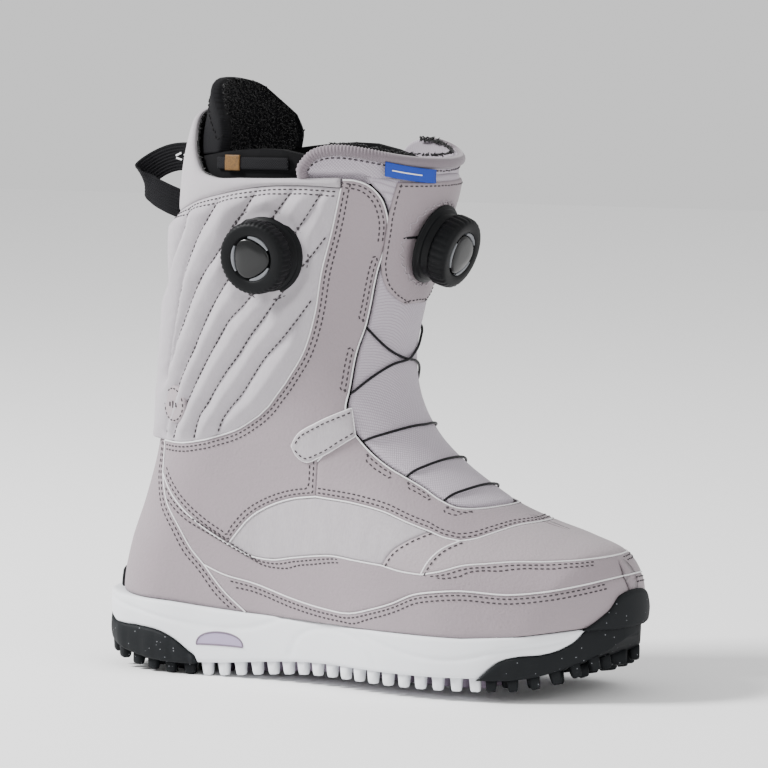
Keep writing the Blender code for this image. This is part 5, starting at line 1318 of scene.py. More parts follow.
    def build(self) -> None:
        """Makes the whole upper."""
        self.lower_panels()
        self.side_panels()
        self.cuff()
        self.badge()
        lines = [line for line in self.piping if len(line) > 2]
        settle(tubes("seam_piping", lines, self.piping_radius, PALETTE.piping), PALETTE.piping, "boot",
               ())


def tuft_piece() -> bpy.types.Object:
    """One curled tuft of pile, standing along Z."""
    known = bpy.data.objects.get("tuft_piece")
    if known:
        return known
    points, faces = [], []
    for i, (r, z, lean) in enumerate(((0.5, -0.3, 0.0), (0.42, 0.5, 0.12), (0.26, 1.1, 0.5),
                                      (0.08, 1.35, 1.0))):
        for j in range(4):
            angle = j * math.pi / 2 + i * 0.5
            points.append((r * math.cos(angle) + lean, r * math.sin(angle), z))
    for i in range(3):
        for j in range(4):
            a, b = i * 4 + j, i * 4 + (j + 1) % 4
            faces.append((a, b, b + 4, a + 4))
    faces += [(3, 2, 1, 0), (12, 13, 14, 15)]
    return helper("tuft_piece", np.array(points) * MM, faces)


# ---------------------------------------------------------------- liner and loop
@dataclass
class Liner:
    """What shows of the removable liner: its back collar, strap and label."""

    form: BootForm
    thread: Thread

    def back_collar(self) -> None:
        """The tall back collar: a knit face and border outside, deep black pile inside."""
        form = self.form
        low = form.back_at(-95, 252.2)
        high = form.back_at(-89, 291)
        end = form.place([(-64, 254.8)])[0]
        bottom = low + (end - low) * np.linspace(0, 1, 41)[:, None] ** 1.8
        edge = form.curve([(-64, 254.8), (-63, 262), (-66, 271)], 26)
        crown = np.vstack([high[None], form.place([(-84, 288.5), (-76, 281)]), edge[-1:]])
        top = spline(crown, np.linspace(0, 1, 41) ** 1.6)
        grid = fill(bottom, top, form.back.between(low, high, 26), edge)
        panel = over_back(form, "liner_collar", grid, 6.2 * MM)
        panel.roll_edges(2.6 * MM, 1.6 * MM, (Edge.BOTTOM,))
        made = panel.build(5.2 * MM)
        settle(made, PALETTE.knit, "boot", ["liner_back_collar"])
        self.thread.add(panel.row(Edge.TOP, 8 * MM, -0.1 * MM))
        inner = panel.outer - panel.normal * 5.0 * MM
        base = mesh_object("collar_pile", inner[:, 2:-2].reshape(-1, 3),
                           grid_faces(inner.shape[0], inner.shape[1] - 4, flip=True))
        pile = grown(base, SCATTER, Piece=tuft_piece(), Density=900000.0, Seed=7,
                     Material=PALETTE.fleece.material())
        settle(pile, PALETTE.fleece, "boot", ())

    def strap(self) -> None:
        """The band across the liner's outer side, with its woven label."""
        form = self.form
        ends = form.place([(-63, 246.5), (-17, 246.5), (-17, 252.5), (-63, 252.5)])
        grid = fill(straight(ends[0], ends[1], 50), straight(ends[3], ends[2], 50),
                    straight(ends[0], ends[3], 10), straight(ends[1], ends[2], 10))
        panel = one_side(form, "strap_band", grid, Side.LATERAL, 4.6 * MM)
        panel.roll_edges(1.0 * MM, 0.4 * MM)
        settle(panel.build(0.9 * MM), PALETTE.webbing, "boot", ["liner_strap"])
        ends = form.place([(-56, 245.9), (-46, 245.9), (-46, 253.6), (-56, 253.6)])
        grid = fill(straight(ends[0], ends[1], 18), straight(ends[3], ends[2], 18),
                    straight(ends[0], ends[3], 14), straight(ends[1], ends[2], 14))
        panel = one_side(form, "strap_label", grid, Side.LATERAL, 3.9 * MM)
        panel.roll_edges(0.6 * MM, 0.3 * MM)
        settle(panel.build(0.6 * MM), PALETTE.gold, "boot", ["liner_label"])

    def build(self) -> None:
        """Makes the liner's visible pieces."""
        self.back_collar()
        self.strap()


@dataclass
class PullLoop:
    """The folded webbing loop at the back of the rim."""

    form: BootForm
    width: float = 14 * MM
    thickness: float = 1.6 * MM
    path: Points = ((-97.8, 5.2, 248), (-108, 7.0, 249.5), (-118, 6.2, 248.5), (-126, 3.0, 244.5),
                    (-129, -1.5, 240.5), (-126.5, -5.4, 237), (-120, -7.6, 233), (-111, -8.2, 229),
                    (-103.2, -7.2, 226))

    def build(self) -> None:
        """Makes the webbing, ribbed along its length, with a pale woven pattern inside."""
        path = np.array(self.path) * MM * (self.form.scale_x, 1, self.form.scale_z)
        line = spline(path, np.linspace(0, 1, 91), 3)
        tangent = np.gradient(line, axis=0)
        tangent /= np.linalg.norm(tangent, axis=1)[:, None]
        share = np.linspace(0, 1, 91)
        tall = np.stack([-0.35 * np.sin(math.pi * share) - 0.15 * share, 0 * share, 1 + 0 * share], 1)
        tall -= tangent * (tall * tangent).sum(1)[:, None]
        tall /= np.linalg.norm(tall, axis=1)[:, None]
        thick = np.cross(tangent, tall)
        across = np.linspace(-1, 1, 49)
        rib = 0.14 * MM * np.cos(across * math.pi * 9)
        half = (self.thickness / 2 - 0.14 * MM) * (1 - np.abs(across) ** 8) ** 0.5 + rib
        spots = line[:, None] + tall[:, None] * (across * self.width / 2)[None, :, None]
        outer = spots + thick[:, None] * half[None, :, None]
        inner = spots - thick[:, None] * half[None, :, None]
        made = sheet_mesh("loop_webbing", outer.swapaxes(0, 1), inner.swapaxes(0, 1))
        settle(made, PALETTE.webbing, "boot", ["pull_loop"])
        marks = []
        for centre in (0.10, 0.17, 0.24):
            k = int(centre * 90)
            for lean in (-1, 1):
                a = spots[k - 2, 24 + 6 * lean] - thick[k - 2] * 0.75 * MM
                b = spots[k + 2, 24 + 2 * lean] - thick[k + 2] * 0.75 * MM
                marks.append(np.array([a, (a + b) / 2, b]))
        pattern = tubes("loop_pattern", marks, 0.5 * MM, PALETTE.pale_weave)
        settle(pattern, PALETTE.pale_weave, "boot")


# ---------------------------------------------------------------- tongue
@dataclass
class Tongue:
    """The tongue with its binding, dial patch, label and pile."""

    form: BootForm
    thread: Thread
    gap: float = 1.2 * MM
    thickness: float = 3.0 * MM
    rib_pitch: float = 1.6 * MM

    def edge(self, segments: int) -> Array:
        """Its edge, a gap in front of the eyestay's edge, from its foot to the rim."""
        form, d = self.form, self.form.drawing
        line = np.vstack([form.place(d.eyestay_low[:0:-1])[1:], form.place(d.eyestay_high[:-2])])
        tangent = np.gradient(line, axis=0)
        tangent /= np.linalg.norm(tangent, axis=1)[:, None]
        line = line + np.stack([tangent[:, 1], -tangent[:, 0]], 1) * self.gap
        line = np.vstack([line, form.place([(21.5, 244.1)])])
        return spline(line, np.linspace(0, 1, segments + 1))

    def face(self) -> None:
        """The woven tongue."""
        form = self.form
        edge = self.edge(110)
        foot = form.front.nearest(edge[:1])[3] - 0.003
        foot = form.front.at_reach(foot)[0]
        peak = form.front_at(44, 244.1)
        bottom, top = straight(edge[0], foot, 26, 1.8), straight(edge[-1], peak, 26, 1.8)
        grid = fill(bottom, top, edge, form.front.between(foot, peak, 110))
        panel = over_front(form, "tongue_face", grid)
        panel.roll_edges(2.5 * MM, 1.6 * MM)
        made = panel.build(self.thickness - 0.2 * MM)
        settle(made, PALETTE.tongue, "tongue", ["tongue"])

    def binding(self) -> None:
        """The rolled binding round the tongue's top, ribbed across on its sides."""
        form, d = self.form, self.form.drawing
        crown = form.place(d.tongue_top)
        low_end = form.front_at(44.3, 244.5)
        low = straight(crown[0] - np.array((0, 12)) * MM, low_end, 150, 1.5)
        high = spline(crown[1:], 1 - (1 - np.linspace(0, 1, 151)) ** 1.5)
        high[-1] = form.front_at(45.2, 252)
        grid = fill(low, high, straight(low[0], high[0], 20), form.front.between(low_end, high[-1], 20))
        panel = over_front(form, "tongue_wing", grid, 0.7 * MM)
        tucked = (1 - ramp(243.5 * MM, 247 * MM, panel.grid[..., 1])) * (
            1 - ramp(19 * MM, 25 * MM, panel.grid[..., 0]))
        panel.raise_by(-2.9 * MM * tucked)
        settle(panel.build(3.0 * MM), PALETTE.tongue, "tongue", ())
        crest = panel.row(Edge.TOP, 2.3 * MM)
        hooks = [crest[k] + np.array((-0.8, s * 2.6, -5.0)) * MM for k, s in ((0, 1), (-1, -1))]
        line = resample(spline(np.vstack([hooks[:1], crest[::6], hooks[1:]]),
                               np.linspace(0, 1, 600), 3), 0.32 * MM)
        reach = lengths_along(line)
        lateral = np.minimum(reach, reach[-1] - reach)
        fade = 1 - ramp(44 * MM, 56 * MM, lateral)
        ribs = 0.24 * MM * np.cos(lateral * 2 * math.pi / self.rib_pitch) * fade
        roll = swept("binding_roll", line, 2.75 * MM + ribs, 16)
        settle(roll, PALETTE.binding, "tongue", ["tongue_binding"])
        self.thread.add(trim(panel.row(Edge.TOP, 6.0 * MM, -0.1 * MM), 5 * MM, 5 * MM))
        ridge = panel.outer[17:20] - panel.normal[17:20] * 4.6 * MM + np.array((0, 0, 0.0022))
        strip = mesh_object("tongue_pile", ridge[:, 30:-30].reshape(-1, 3),
                            grid_faces(3, ridge.shape[1] - 60))
        pile = grown(strip, SCATTER, Piece=tuft_piece(), Density=2200000.0, Seed=11,
                     Material=PALETTE.fleece.material())
        settle(pile, PALETTE.fleece, "tongue", ())

    def patch(self) -> None:
        """The leather patch under the front dial, with its stitching."""
        form, d = self.form, self.form.drawing
        left = form.curve(d.dial_patch, 60)
        low_end = form.front_at(27, 181)
        high_end = form.front_at(43.5, 241)
        grid = fill(straight(left[0], low_end, 26, 1.8), straight(left[-1], high_end, 26, 1.8), left,
                    form.front.between(low_end, high_end, 60))
        panel = over_front(form, "dial_patch_panel", grid, -1.5 * MM)
        panel.roll_edges(1.4 * MM, 1.1 * MM)
        settle(panel.build(1.4 * MM), PALETTE.leather, "tongue", ["tongue_dial_patch"])
        for edge in Edge:
            self.thread.add(trim(panel.row(edge, 2.0 * MM), 2 * MM, 2 * MM))

    def label(self) -> None:
        """The blue label over the binding, with a plain woven pattern."""
        form = self.form
        ends = form.place([(29, 244.6), (42.6, 240.6), (43.2, 247.2), (29.4, 251.6)])
        grid = fill(straight(ends[0], ends[1], 24), straight(ends[3], ends[2], 24),
                    straight(ends[0], ends[3], 12), straight(ends[1], ends[2], 12))
        panel = one_side(form, "label_tag", grid, Side.LATERAL, -2.2 * MM)
        panel.roll_edges(0.5 * MM, 0.2 * MM)
        settle(panel.build(0.9 * MM), PALETTE.blue, "tongue", ["tongue_label"])
        row = 6
        bar = panel.outer[row, 4:20] + panel.normal[row, 4:20] * 0.1 * MM
        pattern = tubes("label_pattern", [bar], 0.3 * MM, PALETTE.pale_weave)
        settle(pattern, PALETTE.pale_weave, "tongue")

    def build(self) -> None:
        """Makes the whole tongue."""
        self.face()
        self.binding()
        self.patch()
        self.label()


# ---------------------------------------------------------------- laces
@dataclass
class Lacing:
    """The front lace: two leads from the dial, a cross and three rungs over the tongue."""

    form: BootForm
    radius: float = 0.65 * MM
    over: float = -0.95 * MM
    under: float = 3.1 * MM
    rungs: Sequence[tuple] = (((14, 115), (32.4, 122)), ((37, 99), (47, 105.6)),
                              ((57, 88.5), (64.5, 93)))
    cross: tuple = ((14, 171), (21.4, 153.5), (7, 137))

    def spot(self, point: Sequence[float], side: Side, depth: float) -> Array:
        """The lace's centre at a drawn side-view point."""
        return self.form.at_depth(self.form.place([point]), side.value, depth, np.array([False]))[0]

    def crown(self, crest: Sequence[float], lift: float = 0.0) -> list[Array]:
        """The lace's highest place, on the tongue's ridge."""
        top = self.form.front.snap(self.form.place([crest])[0])
        return list(self.form.at_depth(top[None], -1.0, self.over - lift, np.array([True])))

    def half(self, start: Sequence[float], crest: Sequence[float], side: Side) -> list[Array]:
        """From under the eyestay's edge over one side of the tongue, short of its crest."""
        a, b = np.array(start, float), np.array(crest, float)
        along = (b - a) / np.linalg.norm(b - a)
        spots = [self.spot(a + along * reach, side, depth * MM)
                 for reach, depth in ((-4.5, 3.1), (0.4, 2.3), (1.7, 0.9), (3.4, -0.6))]
        length = np.linalg.norm(b - a)
        return spots + [self.spot(a + along * (4.6 + (length - 4.6) * t), side, self.over)
                        for t in (0.0, 0.3, 0.6, 0.85)]

    def strand(self, name: str, spots: Sequence[Array], start: Sequence[float],
               crest: Sequence[float]) -> None:
        """One strand: a round tube along a smooth line through its spots."""
        count = int(lengths_along(np.array(spots))[-1] / (0.8 * MM))
        line = spline(np.array(spots), np.linspace(0, 1, count), 3)
        made = tubes(name, [line], self.radius, PALETTE.lace, 12)
        low, high = self.form.place([start, crest])
        made.data.materials[0] = PALETTE.lace.material()
        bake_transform(made)

    def build(self) -> None:
        """Makes every strand."""
        lateral, medial = Side.LATERAL, Side.MEDIAL
        for i, (start, crest) in enumerate(self.rungs):
            spots = (self.half(start, crest, lateral) + self.crown(crest)
                     + self.half(start, crest, medial)[::-1])
            self.strand(f"lace_rung_{i}", spots, start, crest)
        start, crest, end = self.cross
        for name, first, lift in (("lace_cross_under", lateral, 0.0), ("lace_cross_over", medial, 1.1)):
            second = medial if first is lateral else lateral
            spots = (self.half(start, crest, first) + self.crown(crest, lift * MM)
                     + self.half(end, crest, second)[::-1])
            self.strand(name, spots, (10, 153.5), crest)
        hidden = []
        for side in Side:
            lead = [self.spot(point, side, depth * MM) for point, depth in
                    (((34.5, 214.6), -1.7), ((31.5, 214.4), -1.2), ((29.2, 214.2), 0.2),
                     ((27.6, 214), 2.2), ((24, 212), 3.1))]
            self.strand(f"lace_lead_{side.name.lower()}", lead, (28, 214), (33, 214))
            for run in (((24, 212), (19, 200), (14, 185), (11.3, 176), (10.5, 173)),
                        ((4, 135), (1, 127), (2.5, 119), (9, 112.5)),
                        ((10, 111), (18, 106), (27, 100), (33, 97)), ((33, 95), (42, 90.5), (53, 87))):
                line = np.array([self.spot(point, side, self.under) for point in run])
                hidden.append(spline(line, np.linspace(0, 1, 24), 3))
        runs = tubes("lace_runs", hidden, self.radius, PALETTE.lace, 8)
        settle(runs, PALETTE.lace, "boot", ["front_lace"])


# ---------------------------------------------------------------- dials
@dataclass
class Dial:
    """One winding dial: a stepped housing and a ribbed knob with windows and a lobed cap."""

    name: str
    joint: str
    house: str
    thread: Thread
    seam: Thread
    knob_radius: float = 18 * MM
    knob_height: float = 9.2 * MM
    flange: float = 20 * MM
    body: float = 16.5 * MM
    body_height: float = 6.6 * MM
    ribs: int = 44

    def __post_init__(self) -> None:
        """Finds the dial's place and axis from its joint."""
        joint = next(j for j in frame["record"]["behaviour"]["joints"] if j["name"] == self.joint)
        axis = Vector(joint["axis"]).normalized()
        across = Vector((0, 0, 1)).cross(axis).normalized()
        turn = Matrix((across, axis.cross(across), axis)).transposed().to_4x4()
        self.place = Matrix.Translation(Vector(joint["pos_m"])) @ turn

    def carry(self, points: Array) -> Array:
        """Points of the dial's own frame, in place."""
        return np.array([self.place @ Vector(p) for p in points])

    def lathe(self, name: str, profile: Points, wave: Callable[[float, float], float] | None = None,
              steps: int = 96) -> bpy.types.Object:
        """A turned piece whose radius may vary with angle and share of its profile."""
        points, faces = [], []
        count = len(profile)
        for i, (r, z) in enumerate(profile):
            for j in range(steps):
                angle = j / steps * 2 * math.pi
                reach = r + (wave(angle, i / (count - 1)) if wave else 0.0)
                points.append((reach * math.cos(angle), reach * math.sin(angle), z))
        for i in range(count - 1):
            for j in range(steps):
                k = (j + 1) % steps
                a, b = i * steps, (i + 1) * steps
                faces.append((a + j, b + j, b + k, a + k))
        faces.append(tuple(range(steps)))
        faces.append(tuple(range((count - 1) * steps, count * steps))[::-1])
        return mesh_object(name, self.carry(points), [f[::-1] for f in faces])

    def housing(self) -> None:
        """The stepped base with its stitched flange."""
        f, b, h = self.flange, self.body, self.body_height
        profile = [(f, 0.0), (f, 0.5 * MM), (f - 0.4 * MM, 1.0 * MM), (b + 2.1 * MM, 1.2 * MM),
                   (b + 1.9 * MM, 1.5 * MM), (b + 1.8 * MM, 2.5 * MM), (b + 1.4 * MM, 2.8 * MM),
                   (b + 0.4 * MM, 2.9 * MM), (b + 0.2 * MM, 3.2 * MM), (b, h - 0.4 * MM),
                   (b - 0.4 * MM, h), (12.4 * MM, h), (12.4 * MM, 1.4 * MM)]
        made = self.lathe(f"{self.name}_base", profile)
        settle(made, PALETTE.plastic, self.house, [f"{self.name}_housing"])
        turn = np.linspace(0, 2 * math.pi, 160)
        if self.name == "front_dial":
            zig = 21.3 * MM + 1.0 * MM * np.sign(np.sin(turn * 26)) * np.abs(np.sin(turn * 26)) ** 0.5
            ring = np.stack([zig * np.cos(turn), zig * np.sin(turn), 0 * turn], 1)
            self.seam.add(self.pressed(ring))
        else:
            ring = np.stack([22.4 * MM * np.cos(turn), 22.4 * MM * np.sin(turn), 0 * turn], 1)
            self.thread.add(self.pressed(ring))

    def pressed(self, ring: Array) -> Array:
        """A ring of points moved along the dial's axis onto the boot's surface."""
        placed = self.carry(ring)
        flat = placed[:, (0, 2)]
        if self.name != "front_dial":
            return np.array([FORM.skin(spot[None], -1.0 if y < 0 else 1.0)[0][0]
                             for spot, y in zip(flat, placed[:, 1])])
        crest = FORM.front.nearest(flat)
        power = FORM.drawing.squareness
        share = np.clip(np.abs(placed[:, 1]) / FORM.half_width(*flat.T), 0, 0.97)
        deep = (1 - (1 - share**power) ** (1 / power)) * crest[1] - 1.7 * MM
        placed[:, (0, 2)] = FORM.front.at_reach(crest[3]) + crest[2] * deep[:, None]
        return placed

    def knob(self) -> None:
        """The ribbed knob with its ring face, windows and cap."""
        body = self.joint.replace("knob", "dial")
        low = self.body_height + 0.4 * MM
        top, r = low + self.knob_height, self.knob_radius
        count = self.ribs
        ribs: Callable[[float, float], float] = lambda a, s: (
            -0.45 * MM * (0.5 - 0.5 * math.cos(a * count)) ** 2 if 0.14 < s < 0.62 else 0.0)
        profile = [(12.4 * MM, low), (r - 1.2 * MM, low), (r - 0.5 * MM, low + 0.2 * MM),
                   (r - 0.1 * MM, low + 0.8 * MM), (r, low + 1.6 * MM), (r, low + 3.5 * MM),
                   (r - 0.1 * MM, top - 3.6 * MM), (r - 0.3 * MM, top - 2.0 * MM),
                   (r - 0.8 * MM, top - 0.9 * MM), (r - 1.7 * MM, top - 0.3 * MM),
                   (r - 2.6 * MM, top), (11.6 * MM, top), (11.2 * MM, top - 0.3 * MM),
                   (10.8 * MM, top - 1.3 * MM)]
        made = self.lathe(f"{self.name}_grip", profile, ribs, count * 6)
        settle(made, PALETTE.knob, body, [f"{self.name}_knob"])
        lobe: Callable[[float, float], float] = lambda a, s: 1.15 * MM * math.cos(3 * a) * (1 - s)
        cap = [(9.3 * MM, top - 1.6 * MM), (9.3 * MM, top - 0.3 * MM), (9.0 * MM, top + 0.15 * MM),
               (8.2 * MM, top + 0.45 * MM), (4.0 * MM, top + 0.65 * MM), (0.2 * MM, top + 0.7 * MM)]
        made = self.lathe(f"{self.name}_crown", cap, lobe)
        settle(made, PALETTE.gloss, body, [f"{self.name}_cap"])
        for k in range(3):
            middle = math.pi + k * 2 * math.pi / 3
            angle = middle + np.linspace(-0.62, 0.62, 17)
            inner = 9.0 * MM + 1.0 * MM * (np.abs(angle - middle) / 0.62) ** 2
            outer = np.full(17, 10.9 * MM)
            rows = []
            for share, height in ((0.0, -1.2), (0.0, -0.25), (0.12, -0.05), (0.5, 0.05), (0.88, -0.05),
                                  (1.0, -0.25), (1.0, -1.2)):
                reach = inner + (outer - inner) * share
                rows.append(self.carry(np.stack([reach * np.cos(angle), reach * np.sin(angle),
                                                 np.full(17, top + height * MM)], 1)))
            grid = np.array(rows)
            lip = mesh_object(f"{self.name}_window_{k}", grid.reshape(-1, 3), np.vstack(
                [grid_faces(7, 17, flip=True)]).tolist()
                + [[i * 17 for i in range(7)], [i * 17 + 16 for i in range(6, -1, -1)]])
            lip.data.validate()
            settle(lip, PALETTE.pale_plastic, body)

    def build(self) -> None:
        """Makes the dial."""
        self.housing()
        self.knob()


# ---------------------------------------------------------------- sole
@dataclass
class Sole:
    """Midsole with sweeping embossed lines, heel and toe rubber, lugs and cushion lens."""

    form: BootForm
    drop: float = 6.5 * MM
    step: float = 1.5 * MM
    emboss: float = 0.8 * MM
    lines: Sequence[Points] = (((-134, 30), (-112, 26), (-90, 22), (-74, 20), (-44, 21), (-26, 27)),
                               ((-22, 9), (-16, 19), (-4, 23.5), (14, 23), (28, 18), (34, 9)),
                               ((24, 24), (50, 17), (76, 15), (100, 20), (122, 24), (139, 29)))

    def half(self, x: Array) -> Array:
        """Half width of the sole at places along it."""
        u = np.asarray(x) / MM / self.form.scale_x
        return value_at(self.form.drawing.sole_plan, u) * MM * self.form.drawing.forefoot_width / 103

    def level(self, table: Points, x: Array) -> Array:
        """A drawn height along the sole."""
        return value_at(table, np.asarray(x) / MM / self.form.scale_x) * MM

    def stations(self, low: float, high: float) -> Array:
        """Places of the cross-sections between two drawn places, closer at the tips."""
        count = int((high - low) * MM / self.step)
        even = np.linspace(0, 1, count + 1)
        return (low + (high - low) * (0.5 - 0.5 * np.cos(even * math.pi) * 0.6
                                      + (even - 0.5) * 0.4)) * MM * self.form.scale_x

    def block(self, name: str, xs: Array, top: Array, bottom: Array, bulge: float,
              relief: Callable[[Array, Array], Array] | None = None,
              inset: float = 0.0) -> bpy.types.Object:
        """A closed block of the sole, swept along it through rounded cross-sections.

        Args:
            name: The piece's name.
            xs: Places of its cross-sections.
            top: Height of its top at each place.
            bottom: Height of its underside at each place.
            bulge: How far its wall swells out in the middle.
            relief: Depth of the wall's pattern at (x, z) points.
            inset: How far its wall lies inside the sole's plan.

        Returns:
            The piece.
        """
        wall, cap = 20, 14
        up = np.linspace(0, 1, wall + 1)
        flat = np.linspace(1, -1, cap + 1)[1:-1]
        centre = self.form.middle(xs, xs * 0)
        wide = self.half(xs) - inset
        rounding = np.clip(1 - ((up - 0.5) * 2) ** 16, 0, 1) ** 0.5
        sections = []
        for x, c, w, z0, z1 in zip(xs, centre, wide, bottom, top):
            z = z0 + (z1 - z0) * up
            pushed = bulge * np.sin(up * math.pi) - 0.9 * MM * (1 - rounding)
            if relief:
                pushed = pushed - relief(np.full(wall + 1, x), z)
            right = np.stack([np.full(wall + 1, x), c - w - pushed, z], 1)
            left = np.stack([np.full(wall + 1, x), c + w + pushed, z], 1)
            over = np.stack([np.full(cap - 1, x), c - w * flat, np.full(cap - 1, z1)], 1)
            under = np.stack([np.full(cap - 1, x), c + w * flat, np.full(cap - 1, z0)], 1)
            sections.append(np.vstack([right, over, left[::-1], under]))
        ring = len(sections[0])
        points = np.array(sections)
        faces = []
        for i in range(len(xs) - 1):
            for j in range(ring):
                k = (j + 1) % ring
                faces.append((i * ring + j, (i + 1) * ring + j, (i + 1) * ring + k, i * ring + k))
        last = (len(xs) - 1) * ring
        faces.append(tuple(range(ring)))
        faces.append(tuple(range(last, last + ring))[::-1])
        return mesh_object(name, points.reshape(-1, 3), faces)

    def wall_relief(self, x: Array, z: Array) -> Array:
        """Depth of the midsole's sweeping lines at side-view points."""
        spots = np.stack([x, z], 1)
        distance = np.linalg.norm(spots[:, None] - self.samples[None], axis=2).min(1)
        return self.emboss * np.exp(-((distance / (1.1 * MM)) ** 2))

    def build(self) -> None:
        """Makes the whole sole."""
        form, d = self.form, self.form.drawing
        self.samples = np.vstack([self.form.curve(points, 120) for points in self.lines])
        feather = form.place(d.feather)
        xs = self.stations(-142, 143)
        top = np.interp(xs, feather[:, 0], feather[:, 1]) - 0.3 * MM
        ground = self.level(d.ground, xs)
        drawn = xs / MM / form.scale_x
        bottom = ground + self.drop
        heel, toe = drawn < -77, drawn > 88
        bottom[heel] = self.level(d.heel_rubber, xs[heel]) + 0.3 * MM
        bottom[toe] = self.level(d.toe_rubber, xs[toe]) + 0.3 * MM
        mid = self.block("midsole_body", xs, top, bottom, 0.7 * MM, self.wall_relief)
        settle(mid, PALETTE.midsole, "boot", ["midsole"])
        for name, node, table, low, high in (("heel_rubber", "outsole_heel", d.heel_rubber, -142, -77.5),
                                             ("toe_rubber", "outsole_toe", d.toe_rubber, 88.5, 143)):
            x = self.stations(low, high)
            base = self.level(d.ground, x) + self.drop * 0.85
            roof = np.maximum(self.level(table, x), base + 0.6 * MM)
            piece = self.block(name, x, roof, base, 0.9 * MM, self.rib_relief, -0.4 * MM)
            settle(piece, PALETTE.rubber, "boot", [node])
        self.lens()
        self.lugs()
        self.heel_strip()

    def rib_relief(self, x: Array, z: Array) -> Array:
        """Depth of the shallow upright ribs on the rubber's side."""
        wave = 0.5 - 0.5 * np.cos(x / MM * 2 * math.pi / 9.5)
        return 0.5 * MM * wave**6

    def lens(self) -> None:
        """The lilac cushion that shows as a lens in the heel's side, with its raised outline."""
        form = self.form
        t = np.linspace(0, math.pi, 25)
        x = (-62.5 - 13.2 * np.cos(t)) * MM * form.scale_x
        low = (10.6 + 0.4 * np.sin(t)) * MM
        high = low + 6.4 * MM * np.sin(t) ** 0.8
        outlines = []
        for side in Side:
            rows = []
            for share in np.linspace(0, 1, 9):
                z = low + (high - low) * share
                y = form.middle(x, x * 0) + side.value * (self.half(x) + 0.75 * MM)
                rows.append(np.stack([x, y, z], 1))
            outer = np.array(rows)
            inner = outer - np.array((0, side.value * 4 * MM, 0))
            if side is Side.MEDIAL:
                outer, inner = outer[:, ::-1], inner[:, ::-1]
            made = sheet_mesh(f"cushion_lens_{side.name.lower()}", outer, inner)
            nodes = ["heel_cushion_bar"] if side is Side.LATERAL else ()
            settle(made, PALETTE.lilac, "boot", nodes)
            rim = np.vstack([rows[0], rows[-1][::-1]]) - np.array((0, side.value * 0.1 * MM, 0))
            outlines.append(resample(rim, 1 * MM))
        made = tubes("lens_outline", outlines, 0.45 * MM, PALETTE.inner_lug)
        settle(made, PALETTE.inner_lug, "boot")

    def lugs(self) -> None:
        """Rows of lugs: pale teeth along the edges, rubber ones at heel and toe, soft ones inside in a dark
        grey that is painted shade under the sole.
        """
        form, d = self.form, self.form.drawing
        kinds = ((-72, 86, 1.5, 9.2, (5.2, 7.6, 5.6), PALETTE.midsole, "edge_teeth"),
                 # The inner and middle lugs take the dark inner_lug grey, which is painted shade for the
                 # shadow under the sole.
                 (-70, 84, 14, 10.4, (10, 6.6, 6.0), PALETTE.inner_lug, "inner_lugs"),
                 (-70, 84, 27, 13.2, (9, 6.6, 7.0), PALETTE.inner_lug, "middle_lugs"),
                 (-131, -82, 2.0, 9.0, (5.6, 6.6, 6.0), PALETTE.rubber, "heel_lugs"),
                 (-128, -82, 15, 12.0, (10, 6.6, 6.5), PALETTE.rubber, "heel_inner_lugs"),
                 (93, 132, 2.0, 9.0, (5.6, 6.6, 5.6), PALETTE.rubber, "toe_lugs"),
                 (93, 130, 16, 11.0, (10, 6.6, 6.2), PALETTE.rubber, "toe_inner_lugs"))
        for low, high, inside, pitch, size, finish, name in kinds:
            piece = block_piece(f"{name}_piece", np.array(size) * MM, 0.22)
            lines = []
            for side in Side:
                x = np.linspace(low, high, 60) * MM * form.scale_x
                room = np.maximum(self.half(x) - inside * MM - size[0] * MM / 2, 0.5 * MM)
                y = form.middle(x, x * 0) + side.value * room
                lines.append(np.stack([x, y, self.level(d.ground, x) + size[1] * MM], 1))
            made = grown(paths_mesh(name, lines), REPEAT, Piece=piece, Step=pitch * MM,
                         Material=finish.material())
            settle(made, finish, "boot", ())

    def heel_strip(self) -> None:
        """The dark textured strip round the back of the heel, over the midsole's top."""
        form = self.form
        low = form.back_at(-134.5, 34.5)
        high = form.back_at(-133.6, 44)
        ends = form.place([(-130, 34), (-130, 43)])
        bottom = low + (ends[0] - low) * np.linspace(0, 1, 31)[:, None] ** 1.8
        top = high + (ends[1] - high) * np.linspace(0, 1, 31)[:, None] ** 1.8
        grid = fill(bottom, top, form.back.between(low, high, 12), straight(bottom[-1], top[-1], 12))
        panel = over_back(form, "heel_strip", grid, -1.4 * MM)
        panel.roll_edges(1.2 * MM, 1.1 * MM)
        settle(panel.build(1.4 * MM), PALETTE.rubber, "boot", ())


def toe_cap(form: BootForm) -> None:
    """The black bumper round the toe's tip."""
    side = spline(form.place([(131.5, 29.5), (136, 34), (139.5, 38.5), (141.5, 45)]),
                  np.linspace(0, 1, 21))
    low = straight(side[0], form.front_at(144, 29), 30, 2)
    top = straight(side[-1], form.front_at(142.5, 47), 30, 2)
    panel = over_front(form, "toe_cap", fill(low, top, side, form.front.between(low[-1], top[-1], 20)),
                       -2.4 * MM)
    panel.roll_edges(2.0 * MM, 1.8 * MM)
    settle(panel.build(2.3 * MM), PALETTE.rubber, "boot", ["toe_bumper"])


